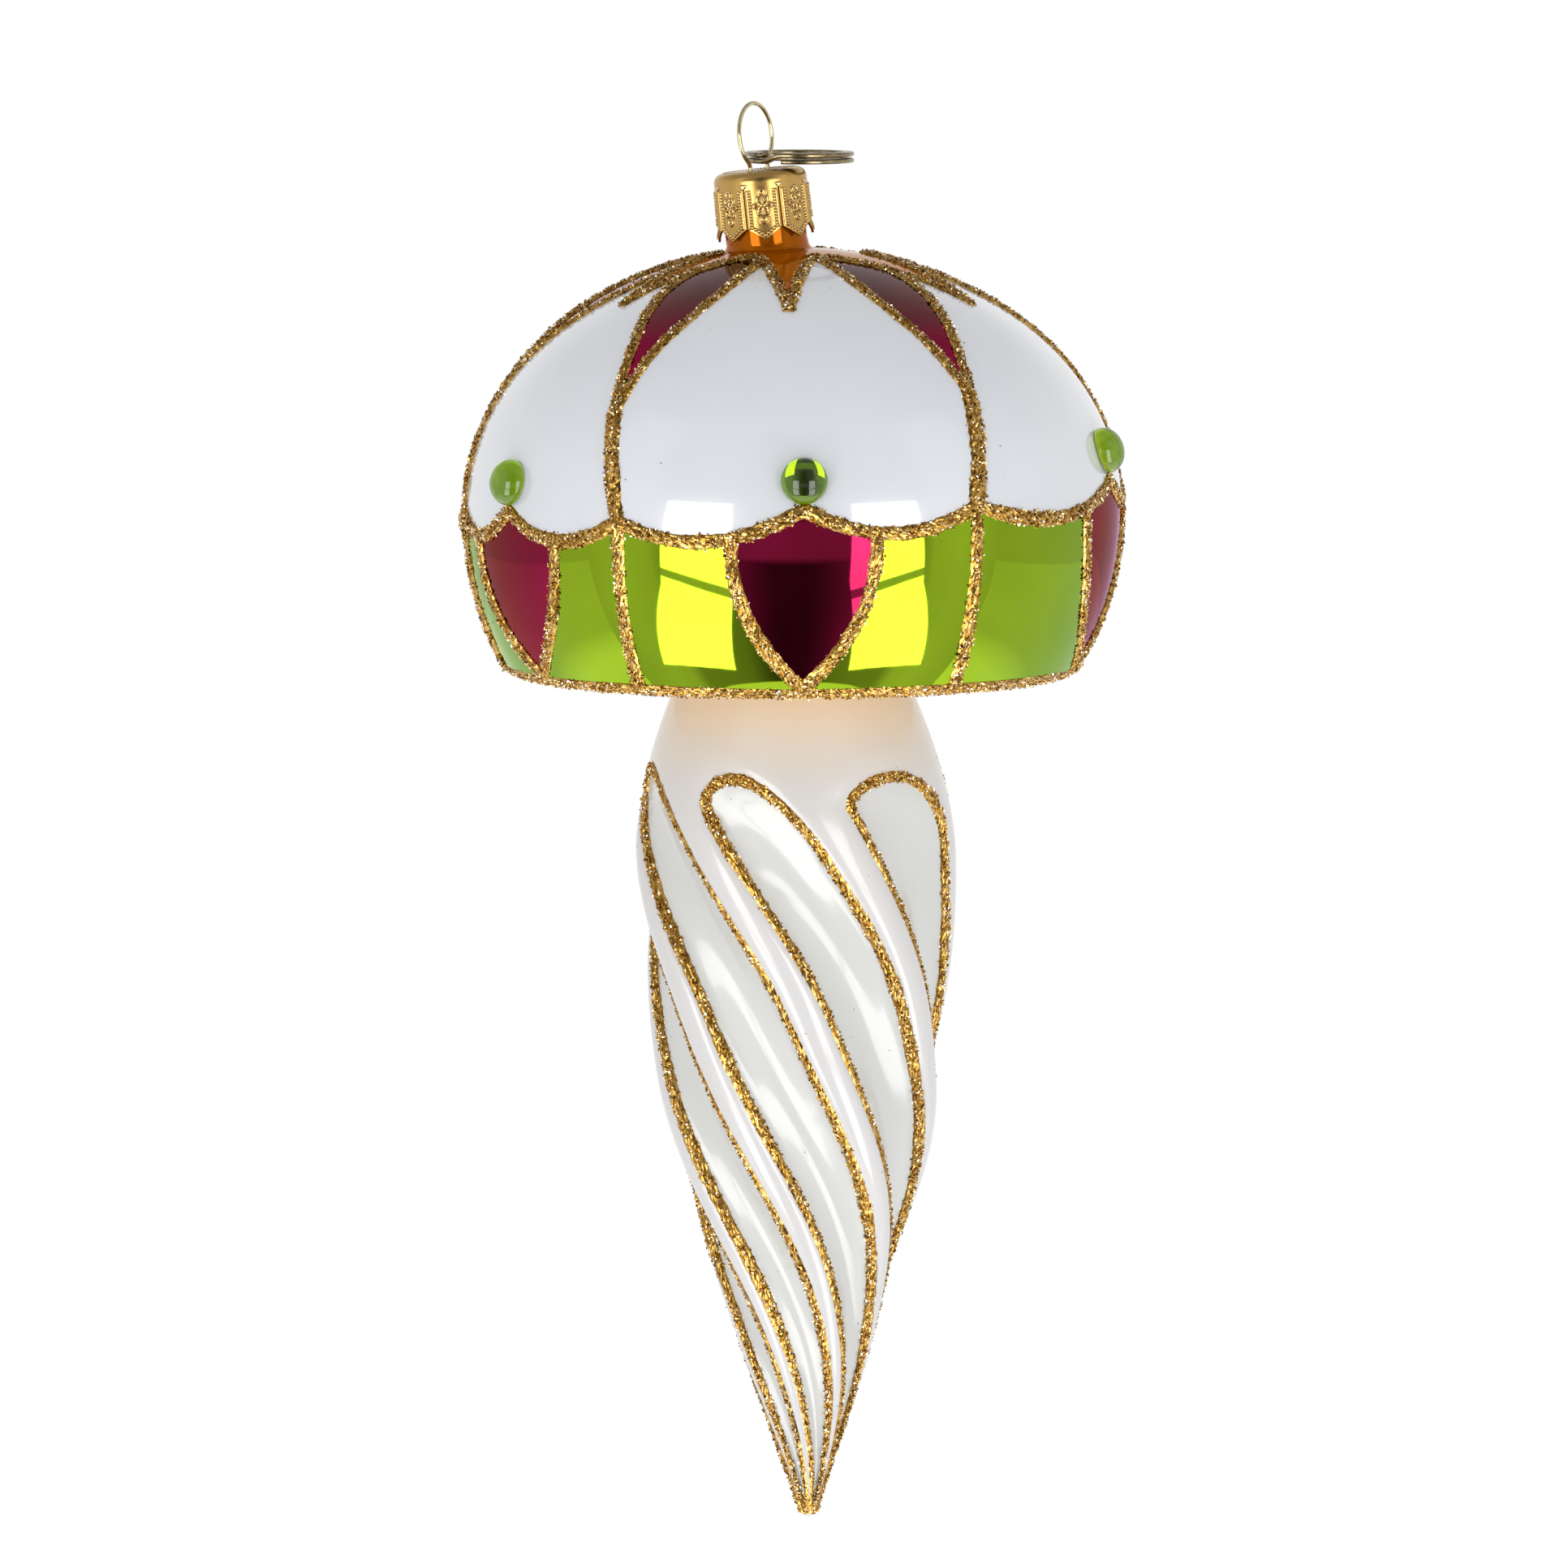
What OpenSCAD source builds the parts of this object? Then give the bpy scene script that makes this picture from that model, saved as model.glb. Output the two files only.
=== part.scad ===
// Blown-glass mushroom ornament, painted in the stained-glass manner.
// A silvered glass cap and a twisted, ridged glass stem carry coloured lacquer coats,
// raised gold glitter lines and glass cabochons. A stamped metal crown closes the neck,
// a spring wire holds it there, and a small split ring lies on the crown.
// Modelled with +Z up and the origin where the ornament hangs, inside the top of its loop.
// Angles round the axis are counted from the front (-Y), positive towards +X.

/* [Glass cap] */
// Diameter of the cap at its widest
cap_d = 80.6; // [70:0.2:92]
// Height of the dome above the widest line
dome_h = 31.75; // [26:0.25:38]
// Drop from the widest line to the underside
rim_drop = 20; // [17:0.5:23]
// Rounding of the lower rim
rim_round = 3.2; // [2.5:0.1:4]
// How far the underside rises from the rim to the stem
underside_rise = 1.5; // [0.5:0.25:3]
// Wall of the blown glass
glass_wall = 1.0; // [0.7:0.1:1.4]

/* [Glass neck] */
// Outer diameter of the neck
neck_d = 9.7; // [9:0.1:11]
// Wall of the neck
neck_wall = 0.9; // [0.7:0.1:1.2]
// Sideways place of the neck on the dome
neck_shift = -3; // [-4:0.1:4]
// Lean of the neck to the left, in degrees
neck_lean = 6; // [-10:0.5:10]

/* [Glass stem] */
// Length of the stem from the cap to its tip
stem_len = 107; // [97:1:120]
// Diameter at the collar under the cap
collar_d = 26; // [23:0.5:30]
// Diameter at the belly
belly_d = 39.5; // [35:0.5:44]
// Belly below the cap
belly_drop = 25; // [21:0.5:29]
// Diameter where the straight taper starts
taper_d = 35.2; // [31:0.2:38]
// Start of the taper below the cap
taper_drop = 52.5; // [47:0.5:58]
// Diameter near the tip
ankle_d = 16.8; // [13:0.2:20]
// That place below the cap
ankle_drop = 85; // [80:0.5:90]
// Diameter of the blunt tip
tip_d = 1.6; // [1.2:0.1:2.4]
// Number of twisted ridges, with a sunk panel between each two
ridges = 7; // [5:1:9]
// Depth of the step from a ridge down into a panel
panel_step = 1.2; // [0.8:0.05:1.6]
// Depth of the hollow of a panel inside that step
panel_hollow = 2.6; // [1.6:0.1:3.2]
// Twist per millimetre of stem, in degrees
twist_rate = 1.41; // [1:0.01:2]
// Further turn towards the tip, in degrees
tip_turn = 16; // [0:1:30]
// Top of the panels' arches below the cap
arch_drop = 13.4; // [11:0.2:15]
// Lean of the stem to the right, in degrees
stem_lean = 1.1; // [-2:0.1:2]

/* [Lacquer pattern] */
// Thickness of a lacquer coat
coat = 0.12; // [0.1:0.01:0.2]
// Height of the border where two petals meet
border_joint = 1.9; // [1:0.1:3.4]
// Height of the border over a shield
border_peak = 2.4; // [1.6:0.1:3.6]
// Sag of each swag of the border
swag_sag = 2.9; // [1.5:0.1:3.5]
// Rise of the painted border to the right, in degrees
border_tilt = 2.4; // [-4:0.1:4]
// Half width of a shield at its top
shield_half = 8.7; // [7:0.1:9.5]
// Reach of the star points from the axis
star_reach = 24.4; // [20:0.2:27]
// Reach of the star's inner corners
star_waist = 8.7; // [8.4:0.1:9.4]
// Distance of a dart's lower end from the axis
dart_reach = 34.5; // [31:0.25:37]
// Half width of a dart at its shoulders
dart_half = 3.6; // [2.5:0.1:4.2]
// Distance of those shoulders from the axis
dart_shoulder = 21; // [18:0.5:25]
// Half width of a dart at the neck
dart_foot = 2.5; // [1.8:0.1:3]

/* [Gold glitter] */
// Width of the border line
border_w = 2.4; // [1.6:0.1:3]
// Width of the petal and shield lines
line_w = 1.9; // [1.2:0.1:2.4]
// Width of the dart and star lines
thin_w = 1.6; // [1:0.1:2]
// Width of the stem lines
stem_line_w = 1.9; // [1.2:0.1:2.2]
// Height of the raised glitter
glitter_h = 0.7; // [0.4:0.05:1]

/* [Cabochons] */
// Diameter of a cabochon
gem_d = 5.6; // [4.4:0.1:6.4]
// Height of a cabochon
gem_h = 2.6; // [1.8:0.1:3]
// Height of the cabochons over the widest line
gem_up = 6; // [5.6:0.1:7]

/* [Crown and hanger] */
// Outer diameter of the crown
crown_d = 11.4; // [11.2:0.1:13]
// Height of the crown with its points
crown_h = 8.3; // [7:0.1:9.5]
// Sheet of the crown
crown_sheet = 0.35; // [0.25:0.05:0.45]
// Height of the crown's points
point_h = 1.5; // [1:0.1:2]
// Number of crown points
points = 8; // [6:1:10]
// Wire of the hanger
wire_d = 0.65; // [0.5:0.05:0.8]
// Outer diameter of the hanging loop
loop_d = 8.5; // [7.6:0.1:10]
// Distance between the two legs of the hanger
leg_gap = 4.2; // [3.6:0.1:4.6]
// Turn of the loop away from the front, in degrees
loop_turn = 60; // [0:1:80]

/* [Split ring] */
// Outer diameter of the split ring
ring_d = 13.4; // [12:0.1:16]
// Width of its flat wire
ring_w = 1.4; // [1:0.1:1.8]
// Height of its two turns together
ring_h = 1.4; // [1:0.1:1.8]

/* [Hidden] */
// Painted places round the cap, as the hand set them: petal lines, shields, star points
petal_line_at = [-31, 33, 95, 155, 217, 280];
shield_at = [2, 74, 125, 186, 248, 302.5];
star_at = [-1, 64, 125, 186, 248, 302.5];
// Hand-set turn of each ridge at its top, in degrees, fading out down the stem
ridge_set = [0, -10, -22, -15.5, -12, 18, 9];
sectors = len(petal_line_at);

// Clearances
coat_seat = 0.03;
coat_gap = 0.1;
border_gap = 0.3;
glitter_seat = 0.12;
line_gap = 0.35;
// Shares of an outline that its glitter covers
shield_line_start = 0.14;
shield_line_stop = 0.94;
shield_line_tip = 0.97;
// How fully a shield's sides belly out before they close
shield_belly = 2.3;
crown_fit = 0.3;
wire_fit = 0.3;
ring_fit = 0.3;

// Cap: an elliptic dome over a zone of a sphere, closed by a rounded rim
cap_r = cap_d / 2;
rim_z = rim_round - rim_drop;
rim_r = sqrt(pow(cap_r - rim_round, 2) - rim_z * rim_z);
rim_lat = asin(rim_z / (cap_r - rim_round));
seat_z = underside_rise - rim_drop;
mouth_r = collar_d / 2 - 3 * glass_wall;
dome_step = 4;
coat_top = coat_seat + coat;
glitter_base = coat_top + glitter_seat;
rim_coat_lat = rim_lat + 1.2;
tilt_rise = cap_r * tan(border_tilt);

// Neck and crown: lengths along the leaned neck axis from the neck's foot
neck_foot = dome_h - 0.25;
neck_r = neck_d / 2;
bore_r = neck_r - neck_wall;
crown_low = 1.6;
crown_top = crown_low + crown_h;
neck_top = crown_top - crown_sheet - crown_fit;
crown_r = crown_d / 2;
shoulder = 1.2;
slit_w = 0.35;
slit_top = crown_top - shoulder - 0.9;
neck_sink = 3;

// Hanger: legs, reverse bends and the round loop
wire_r = wire_d / 2;
loop_r = (loop_d - wire_d) / 2;
leg_x = leg_gap / 2;
bend_r = 1.2;
loop_z = crown_top + loop_d / 2;
bend_z = loop_z - sqrt(pow(loop_r + bend_r, 2) - pow(leg_x + bend_r, 2));
bend_turn = atan((leg_x + bend_r) / (loop_z - bend_z));
leg_low = 5;
splay = 8;
splay_len = 17;
elbow_r = 4;
knee = 0.01;
hang_s = loop_z + loop_r - wire_r;
hang_point = [neck_shift - hang_s * sin(neck_lean), 0, neck_foot + hang_s * cos(neck_lean)];

// Split ring: round the back leg, lying level on the crown's higher edge
ring_leg = 2.1;
ring_back = 1.2;
ring_at = [leg_x * cos(loop_turn) * cos(neck_lean) - ring_leg - ring_w / 2 + ring_d / 2,
           leg_x * sin(loop_turn) + ring_back];
ring_z = (crown_r - shoulder) * abs(sin(neck_lean)) + ring_fit;
crown_mid = [neck_shift - crown_top * sin(neck_lean), 0, neck_foot + crown_top * cos(neck_lean)];
ring_seam = 0.18;
ring_turn_h = (ring_h - ring_seam) / 2;
ring_edge = 0.18;
ring_cut = 0.5;

// Stem: lengths down from its seat on the cap
stem_line_end = stem_len - 6.5;
line_taper = 0.155;
first_ridge = -210.7;
ridge_top = 8;
ridge_fade = 34;
turn_start = 45;
turn_len = 50;
// Panels: phase of their gold outline (half a panel is 0.5), arch height and skew, and the step
// between panel and ridge in shares of that phase
line_phase = 0.331;
arch_h = 6.4;
arch_skew = 0.36;
panel_in = 0.74;
panel_out = 1.26;
full_sink_r = 17;
first_sink = 0.35;
sink_ramp = 14;
panel_phases = [-0.5, -0.42, -0.36, -0.3, -0.245, -0.12, 0, 0.12, 0.245, 0.3, 0.36, 0.42];
bore_rings = 20;
bore_pts = 28;
// The glass is solid at the tip, and the bore ends narrow above it
solid_tip = 12;
bore_tip_r = 0.4;

TOP_NODES = ["crown_cap", "hanger_wire", "split_ring"];
GLASS_NODES = ["cap_shell", "stem_shell", "amber_neck_coat", "amber_star_coat"];
GOLD_NODES = ["gold_rim", "gold_swag_border", "gold_petal_lines", "gold_dart_lines",
              "gold_star_line", "gold_shield_lines"];
function numbered(name, n) = [for (k = [1:n]) str(name, "_", k)];

// Cap surface: a point of its profile at latitude t, d outside the glass
function dome_axis(t) = t > 0 ? dome_h : cap_r;
function profile(t, d) = [(cap_r + d) * cos(t), (dome_axis(t) + d) * sin(t)];
function latitude(z) = asin(z / (z > 0 ? dome_h : cap_r));
function on_cap(a, t, d) = let (p = profile(t, d)) [p[0] * sin(a), -p[0] * cos(a), p[1]];
function cap_normal(a, t) = let (n = [cos(t) / cap_r, sin(t) / dome_axis(t)], u = n / norm(n))
    [u[0] * sin(a), -u[0] * cos(a), u[1]];
function lat_of_reach(r) = acos(r / cap_r);
function steps(low, high, n) = [for (i = [0:n]) low + (high - low) * i / n];
function mix(a, b, f) = a + (b - a) * f;

// Painted border: its height at angle a, as swags between petal lines and shields
function next_line(k) = petal_line_at[(k + 1) % sectors] + (k + 1 < sectors ? 0 : 360);
function swag(f, z0, z1) = mix(z0, z1, f) - 4 * swag_sag * f * (1 - f);
function border_in(k, a) = tilt_rise * sin(a) + (a < shield_at[k]
    ? swag((a - petal_line_at[k]) / (shield_at[k] - petal_line_at[k]), border_joint, border_peak)
    : swag((a - shield_at[k]) / (next_line(k) - shield_at[k]), border_peak, border_joint));

// Star corner points and dart outline, seen from above
function polar(r, a) = [r * sin(a), -r * cos(a)];
function star_corners(grow) = [for (k = [0:sectors - 1], side = [0, 1])
    side == 0 ? polar(star_waist + grow, petal_line_at[k]) : polar(star_reach + 3 * grow, star_at[k])];
function dart_outline(grow) = [[0, -dart_reach - 3 * grow], [dart_half + grow, -dart_shoulder],
    [dart_foot + grow, -star_waist], [0, dart_foot - star_waist],
    [-dart_foot - grow, -star_waist], [-dart_half - grow, -dart_shoulder]];

// Shield: half width at a share s of the way down, and the height there on its left or right side
function shield_side(s) = shield_half * (1 - pow(s, shield_belly));
shield_angle = asin(shield_half / cap_r);
shield_low = cap_r * sin(rim_coat_lat) - 0.5;
function shield_z(k, side, s) = mix(border_in(k, shield_at[k] + side * shield_angle), shield_low, s);

// Stem: radius of its ridges at a drop below the cap, through the driving diameters
stem_knots = [[0, collar_d / 2], [belly_drop, belly_d / 2], [taper_drop, taper_d / 2],
              [ankle_drop, ankle_d / 2], [stem_len, tip_d / 2]];
stem_slopes = [0.45, 0, -0.13, -0.29, -0.33];
function hermite(p, q, mp, mq, f) = let (h = q[0] - p[0], g = 1 - f)
    p[1] * (1 + 2 * f) * g * g + q[1] * (3 - 2 * f) * f * f + h * mp * f * g * g - h * mq * f * f * g;
function knot_of(u) = max([for (i = [0:len(stem_knots) - 2]) u >= stem_knots[i][0] ? i : 0]);
function stem_crest(u) = let (i = knot_of(u), p = stem_knots[i], q = stem_knots[i + 1])
    hermite(p, q, stem_slopes[i], stem_slopes[i + 1], (u - p[0]) / (q[0] - p[0]));
function ramp(x) = let (c = min(1, max(0, x))) c * c * (3 - 2 * c);
function ridge_angle(i, u) = let (j = (i + ridges) % ridges, turns = (i - j) / ridges)
    first_ridge + 360 * turns + j * 360 / ridges + twist_rate * u
    + tip_turn * ramp((u - turn_start) / turn_len)
    + ridge_set[j % len(ridge_set)] * (1 - ramp((u - ridge_top) / ridge_fade));
function stem_axis(u) = [u * tan(stem_lean), 0, seat_z - u];
// Panel: height of its arch, share of its depth, where a point lies to its outline (1) and the depth there
function arch(f) = arch_h * (1 + arch_skew * f / line_phase);
function sink_share(u) = min(1, stem_crest(u) / full_sink_r)
    * mix(first_sink, 1, ramp((u - arch_drop) / sink_ramp));
function panel_place(f, u) = norm([f / line_phase, max(0, arch_drop + arch(f) - u) / arch(f)]);
function panel_sink(p) = panel_step * (1 - ramp((p - panel_in) / (panel_out - panel_in)))
    + panel_hollow * (1 + cos(min(180, 360 * line_phase * p))) / 2;
// A point on panel i at phase f (-0.5 to 0.5 from ridge to ridge), d outside the glass
function on_stem(i, f, u, d) = let (a = mix(ridge_angle(i, u), ridge_angle(i + 1, u), f + 0.5),
    r = stem_crest(u) - sink_share(u) * panel_sink(panel_place(f, u)) + d)
    stem_axis(u) + [r * sin(a), -r * cos(a), 0];
function unit(v) = v / norm(v);
small = 0.01;
function stem_normal(i, f, u) = unit(cross(
    on_stem(i, f + small, u, 0) - on_stem(i, f - small, u, 0),
    on_stem(i, f, u + small, 0) - on_stem(i, f, u - small, 0)) * -1);

// Raised bead: four-sided sections along points with normals, joined into one solid
function bead_dir(p, i, closed) = let (n = len(p),
    a = closed ? p[(i + n - 1) % n] : p[max(0, i - 1)],
    b = closed ? p[(i + 1) % n] : p[min(n - 1, i + 1)],
    u1 = norm(p[i] - a) > 0 ? unit(p[i] - a) : unit(b - p[i]),
    u2 = norm(b - p[i]) > 0 ? unit(b - p[i]) : u1, half = norm(u1 + u2) / 2)
    [half > 0 ? unit(u1 + u2) : u1, 1 / max(0.3, half)];
function bead_ring(p, n, i, w, closed) = let (d = bead_dir(p, i, closed),
    s = unit(cross(n[i], d[0])) * w[i] * d[1] / 2)
    [p[i] - s, p[i] - s / 2 + n[i] * glitter_h, p[i] + s / 2 + n[i] * glitter_h, p[i] + s];
function quad(a, b, c, d) = [[a, b, c], [a, c, d]];
function tube_faces(rings, sides, closed) = [for (i = [0:rings - (closed ? 1 : 2)], k = [0:sides - 1])
    let (j = (i + 1) % rings, m = (k + 1) % sides)
    each quad(i * sides + k, i * sides + m, j * sides + m, j * sides + k)];
function end_faces(rings, sides) = [
    [for (k = [1:sides - 2]) each [[0, k + 1, k]]],
    [for (k = [1:sides - 2]) let (b = (rings - 1) * sides) each [[b, b + k, b + k + 1]]]];

module bead(p, n, w, closed = false) {
    rings = len(p);
    ends = end_faces(rings, 4);
    polyhedron(
        points = [for (i = [0:rings - 1]) each bead_ring(p, n, i, w, closed)],
        faces = concat(tube_faces(rings, 4, closed), closed ? [] : concat(ends[0], ends[1])));
}

// A bead over cap places [angle, latitude], all of one width
module cap_bead(places, w, closed = false) {
    bead([for (q = places) on_cap(q[0], q[1], glitter_base)],
         [for (q = places) cap_normal(q[0], q[1])],
         [for (q = places) w], closed);
}

// Moves from the cap's own centre to the hanging point
module hung() {
    translate(-hang_point) children();
}

// Stands on the neck's foot, along the leaned neck axis
module on_neck() {
    translate([neck_shift, 0, neck_foot]) rotate([0, -neck_lean, 0]) children();
}

module facing(a) {
    rotate([0, 0, a]) children();
}

// A prism towards the front from an outline in x and z
module front_prism(outline) {
    rotate([90, 0, 0]) linear_extrude(cap_d) polygon(outline);
}

module tall_prism(outline) {
    linear_extrude(cap_d) polygon(outline);
}

// A thin zone of the cap's surface between two latitudes and two angles
module coat_zone(t0, t1, a0, a1) {
    n = ceil((t1 - t0) / dome_step);
    inner = [for (t = steps(t0, t1, n)) profile(t, coat_seat)];
    outer = [for (t = steps(t1, t0, n)) profile(t, coat_top)];
    facing(a0 - 90) rotate_extrude(angle = a1 - a0) polygon(concat(outer, inner));
}

// Outline over (way = 1) or under (way = -1) a stretch of the border of sector k, seen from angle c
swag_steps = 8;
function swag_places(k) = concat(steps(petal_line_at[k], shield_at[k], swag_steps),
    [for (i = [1:swag_steps]) mix(shield_at[k], next_line(k), i / swag_steps)]);
function border_outline(k, a0, a1, c, way) = let (side = cap_r / 10) concat(
    [for (a = swag_places(k)) if (a >= a0 && a <= a1)
        [cap_r * sin(a - c), border_in(k, a) - way * border_gap / 2]],
    [[cap_r * sin(a1 - c) + side, way * cap_r], [cap_r * sin(a0 - c) - side, way * cap_r]]);

// Shield outline: both sides and the border over its top, or an open top to cut with
side_steps = 7;
function shield_edge(k, side, grow) = [for (i = [0:side_steps - 1]) let (s = i / side_steps)
    [side * (shield_side(s) + grow), shield_z(k, side, s)]];
function shield_top(k) = let (c = shield_at[k]) [for (i = [side_steps:-1:1])
    let (a = shield_angle * (2 * i / (side_steps + 1) - 1))
    [cap_r * sin(a), border_in(k, c + a) - border_gap / 2]];
function shield_outline(k, grow) = let (right = shield_edge(k, 1, grow), x = shield_half + grow) concat(
    shield_edge(k, -1, grow), [[0, shield_low - 3 * grow]],
    [for (i = [side_steps - 1:-1:0]) right[i]],
    grow < 0 ? shield_top(k) : [[x, cap_r], [-x, cap_r]]);

module outer_cap() {
    fillet = [for (a = steps(rim_lat, -90, 6)) [rim_r + rim_round * cos(a), rim_z + rim_round * sin(a)]];
    low = [for (t = steps(0, rim_lat, 8)) profile(t, 0)];
    dome = [for (t = steps(90, dome_step, 90 / dome_step - 1)) profile(t, 0)];
    rotate_extrude() polygon(concat([[0, dome_h]], [for (i = [1:len(dome) - 1]) dome[i]], low,
        [for (i = [1:len(fillet) - 1]) fillet[i]], [[collar_d / 2, seat_z], [0, seat_z]]));
}

module inner_cap() {
    r = rim_round - glass_wall;
    fillet = [for (a = steps(rim_lat, -90, 6)) [rim_r + r * cos(a), rim_z + r * sin(a)]];
    low = [for (t = steps(0, rim_lat, 8)) profile(t, -glass_wall)];
    dome = [for (t = steps(90, dome_step, 90 / dome_step - 1)) profile(t, -glass_wall)];
    rotate_extrude() polygon(concat([[0, dome_h - glass_wall]], [for (i = [1:len(dome) - 1]) dome[i]], low,
        [for (i = [1:len(fillet) - 1]) fillet[i]],
        [[collar_d / 2, seat_z + glass_wall], [0, seat_z + glass_wall]]));
}

module cap_shell() {
    color("gainsboro") hung() difference() {
        union() {
            outer_cap();
            on_neck() translate([0, 0, -neck_sink]) cylinder(r = neck_r, h = neck_top + neck_sink);
        }
        inner_cap();
        on_neck() translate([0, 0, -neck_sink - 1]) cylinder(r = bore_r, h = neck_top + neck_sink + 2);
        translate([0, 0, seat_z - 1]) cylinder(r = mouth_r, h = glass_wall + 2);
    }
}

// Lofted shell: ridged outside, plain round inside, open at the cap; rings stand closer at the arches
module stem_shell() {
    bell_end = arch_drop - 3.8;
    arch_start = arch_drop - 2.3;
    arch_end = belly_drop + 0.5;
    body_start = belly_drop + 4;
    drops = concat(steps(0, bell_end, 3), steps(arch_start, arch_end, 12), steps(body_start, stem_len, 22));
    rings = len(drops);
    side = ridges * len(panel_phases);
    outer = [for (u = drops, i = [0:ridges - 1], f = panel_phases) on_stem(i, f, u, 0)];
    bore_end = stem_len - solid_tip;
    inner = [for (u = steps(0, bore_end, bore_rings), k = [0:bore_pts - 1])
        let (a = ridge_angle(0, 0) + k * 360 / bore_pts,
             thin = stem_crest(u) - sink_share(u) * panel_sink(0) - glass_wall,
             r = u == 0 ? mouth_r : max(bore_tip_r, thin))
        stem_axis(u) + [r * sin(a), -r * cos(a), 0]];
    first = len(outer);
    last = (rings - 1) * side;
    floor_at = first + bore_rings * bore_pts;
    ratio = side / bore_pts;
    rim = [for (k = [0:bore_pts - 1]) let (m = (k + 1) % bore_pts, o = k * ratio)
        each concat([for (j = [0:ratio - 1]) [first + k, (o + j + 1) % side, o + j]],
                    [[first + k, first + m, (o + ratio) % side]])];
    tip = [for (k = [1:side - 2]) [last, last + k, last + k + 1]];
    bottom = [for (k = [1:bore_pts - 2]) [floor_at, floor_at + k + 1, floor_at + k]];
    wall = tube_faces(rings, side, false);
    bore = [for (t = tube_faces(bore_rings + 1, bore_pts, false)) [first + t[0], first + t[2], first + t[1]]];
    color("ivory") hung()
        polyhedron(points = concat(outer, inner), faces = concat(wall, tip, bore, bottom, rim));
}

// Amber lacquer round the neck, down to the star
module amber_neck_coat() {
    color("darkorange") hung() difference() {
        on_neck() difference() {
            translate([0, 0, -neck_sink]) cylinder(r = neck_r + coat_top, h = neck_top + neck_sink);
            translate([0, 0, -neck_sink - 1]) cylinder(r = neck_r + coat_seat, h = neck_top + neck_sink + 2);
        }
        scaled_dome();
    }
}

// The dome with its coat, as a plain solid to cut against
module scaled_dome() {
    low = 30;
    n = ceil((90 - low) / dome_step);
    rotate_extrude() polygon(concat([for (t = steps(low, 90, n)) profile(t, coat_top + coat_seat)],
        [[0, 0], [cap_r / 2, 0]]));
}

module amber_star_coat() {
    color("darkorange") hung() difference() {
        intersection() {
            coat_zone(lat_of_reach(star_reach + 2), 88, 0, 360);
            tall_prism(star_corners(-coat_gap / 2));
        }
        on_neck() translate([0, 0, -neck_sink]) cylinder(r = neck_r + coat_top + coat_gap, h = 2 * neck_sink);
    }
}

module white_petal(k) {
    a0 = petal_line_at[k];
    a1 = next_line(k);
    c = (a0 + a1) / 2;
    gap = asin(coat_gap / cap_d);
    color("white") hung() difference() {
        coat_zone(latitude(-border_joint), lat_of_reach(star_waist), a0 + gap, a1 - gap);
        facing(a0) tall_prism(dart_outline(coat_gap / 2));
        facing(a1) tall_prism(dart_outline(coat_gap / 2));
        tall_prism(star_corners(coat_gap / 2));
        facing(c) front_prism(border_outline(k, a0, a1, c, -1));
    }
}

module wine_dart(k) {
    a = petal_line_at[k];
    reach = 40;
    color("maroon") hung() difference() {
        intersection() {
            coat_zone(lat_of_reach(dart_reach + 1), lat_of_reach(star_waist - 1), a - reach, a + reach);
            facing(a) tall_prism(dart_outline(-coat_gap / 2));
        }
        tall_prism(star_corners(coat_gap / 2));
    }
}

module wine_shield(k) {
    c = shield_at[k];
    half = shield_angle + 2;
    color("purple") hung() intersection() {
        coat_zone(rim_coat_lat, latitude(border_peak + 2 * coat_gap + tilt_rise), c - half, c + half);
        facing(c) front_prism(shield_outline(k, -coat_gap / 2));
    }
}

// Lime panels: the left and the right one of each sector
module lime_panel(n) {
    k = floor((n - 1) / 2);
    left = n % 2 == 1;
    a0 = left ? petal_line_at[k] : shield_at[k];
    a1 = left ? shield_at[k] : next_line(k);
    c = shield_at[k];
    mid = (a0 + a1) / 2;
    gap = asin(coat_gap / cap_d);
    color("yellowgreen") hung() difference() {
        coat_zone(rim_coat_lat, latitude(border_peak + tilt_rise), a0 + gap, a1 - gap);
        facing(c) front_prism(shield_outline(k, coat_gap / 2));
        facing(mid) front_prism(border_outline(k, a0, a1, mid, 1));
    }
}

// Domed glass stone, flat behind, seated on the petal over its shield
module cabochon(k) {
    a = shield_at[k];
    t = latitude(gem_up + tilt_rise * sin(a));
    n = cap_normal(a, t);
    seat = coat_top + glitter_seat;
    r = gem_d / 2;
    color("limegreen") hung() translate(on_cap(a, t, seat)) rotate([0, acos(n[2]), a - 90])
        rotate_extrude() polygon(concat([[0, 0]], [for (b = steps(0, 90, 8)) [r * cos(b), gem_h * sin(b)]]));
}

module gold_rim() {
    low = rim_round + coat_seat;
    high = rim_round + glitter_h;
    angles = steps(rim_lat - 2, -78, 5);
    outer = [for (a = angles) [rim_r + high * cos(a), rim_z + high * sin(a)]];
    inner = [for (i = [len(angles) - 1:-1:0])
        [rim_r + low * cos(angles[i]), rim_z + low * sin(angles[i])]];
    color("goldenrod") hung() rotate_extrude() polygon(concat(outer, inner));
}

module gold_swag_border() {
    places = [for (k = [0:sectors - 1], i = [0:2 * swag_steps - 1])
        let (a = swag_places(k)[i]) [a, latitude(border_in(k, a))]];
    color("goldenrod") hung() cap_bead(places, border_w, true);
}

function lat_step(mm) = mm / cap_r * 180 / PI;
line_steps = 5;
module gold_petal_lines() {
    clear = lat_step(border_w / 2 + line_gap);
    color("goldenrod") hung() for (k = [0:sectors - 1]) {
        a = petal_line_at[k];
        t = latitude(border_in(k, a));
        low = rim_coat_lat + lat_step(line_gap);
        high = lat_of_reach(dart_reach) - lat_step(3 * thin_w);
        cap_bead([for (s = steps(low, t - 1.4 * clear, line_steps)) [a, s]], line_w);
        cap_bead([for (s = steps(t + clear, high, line_steps)) [a, s]], line_w);
    }
}

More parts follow.
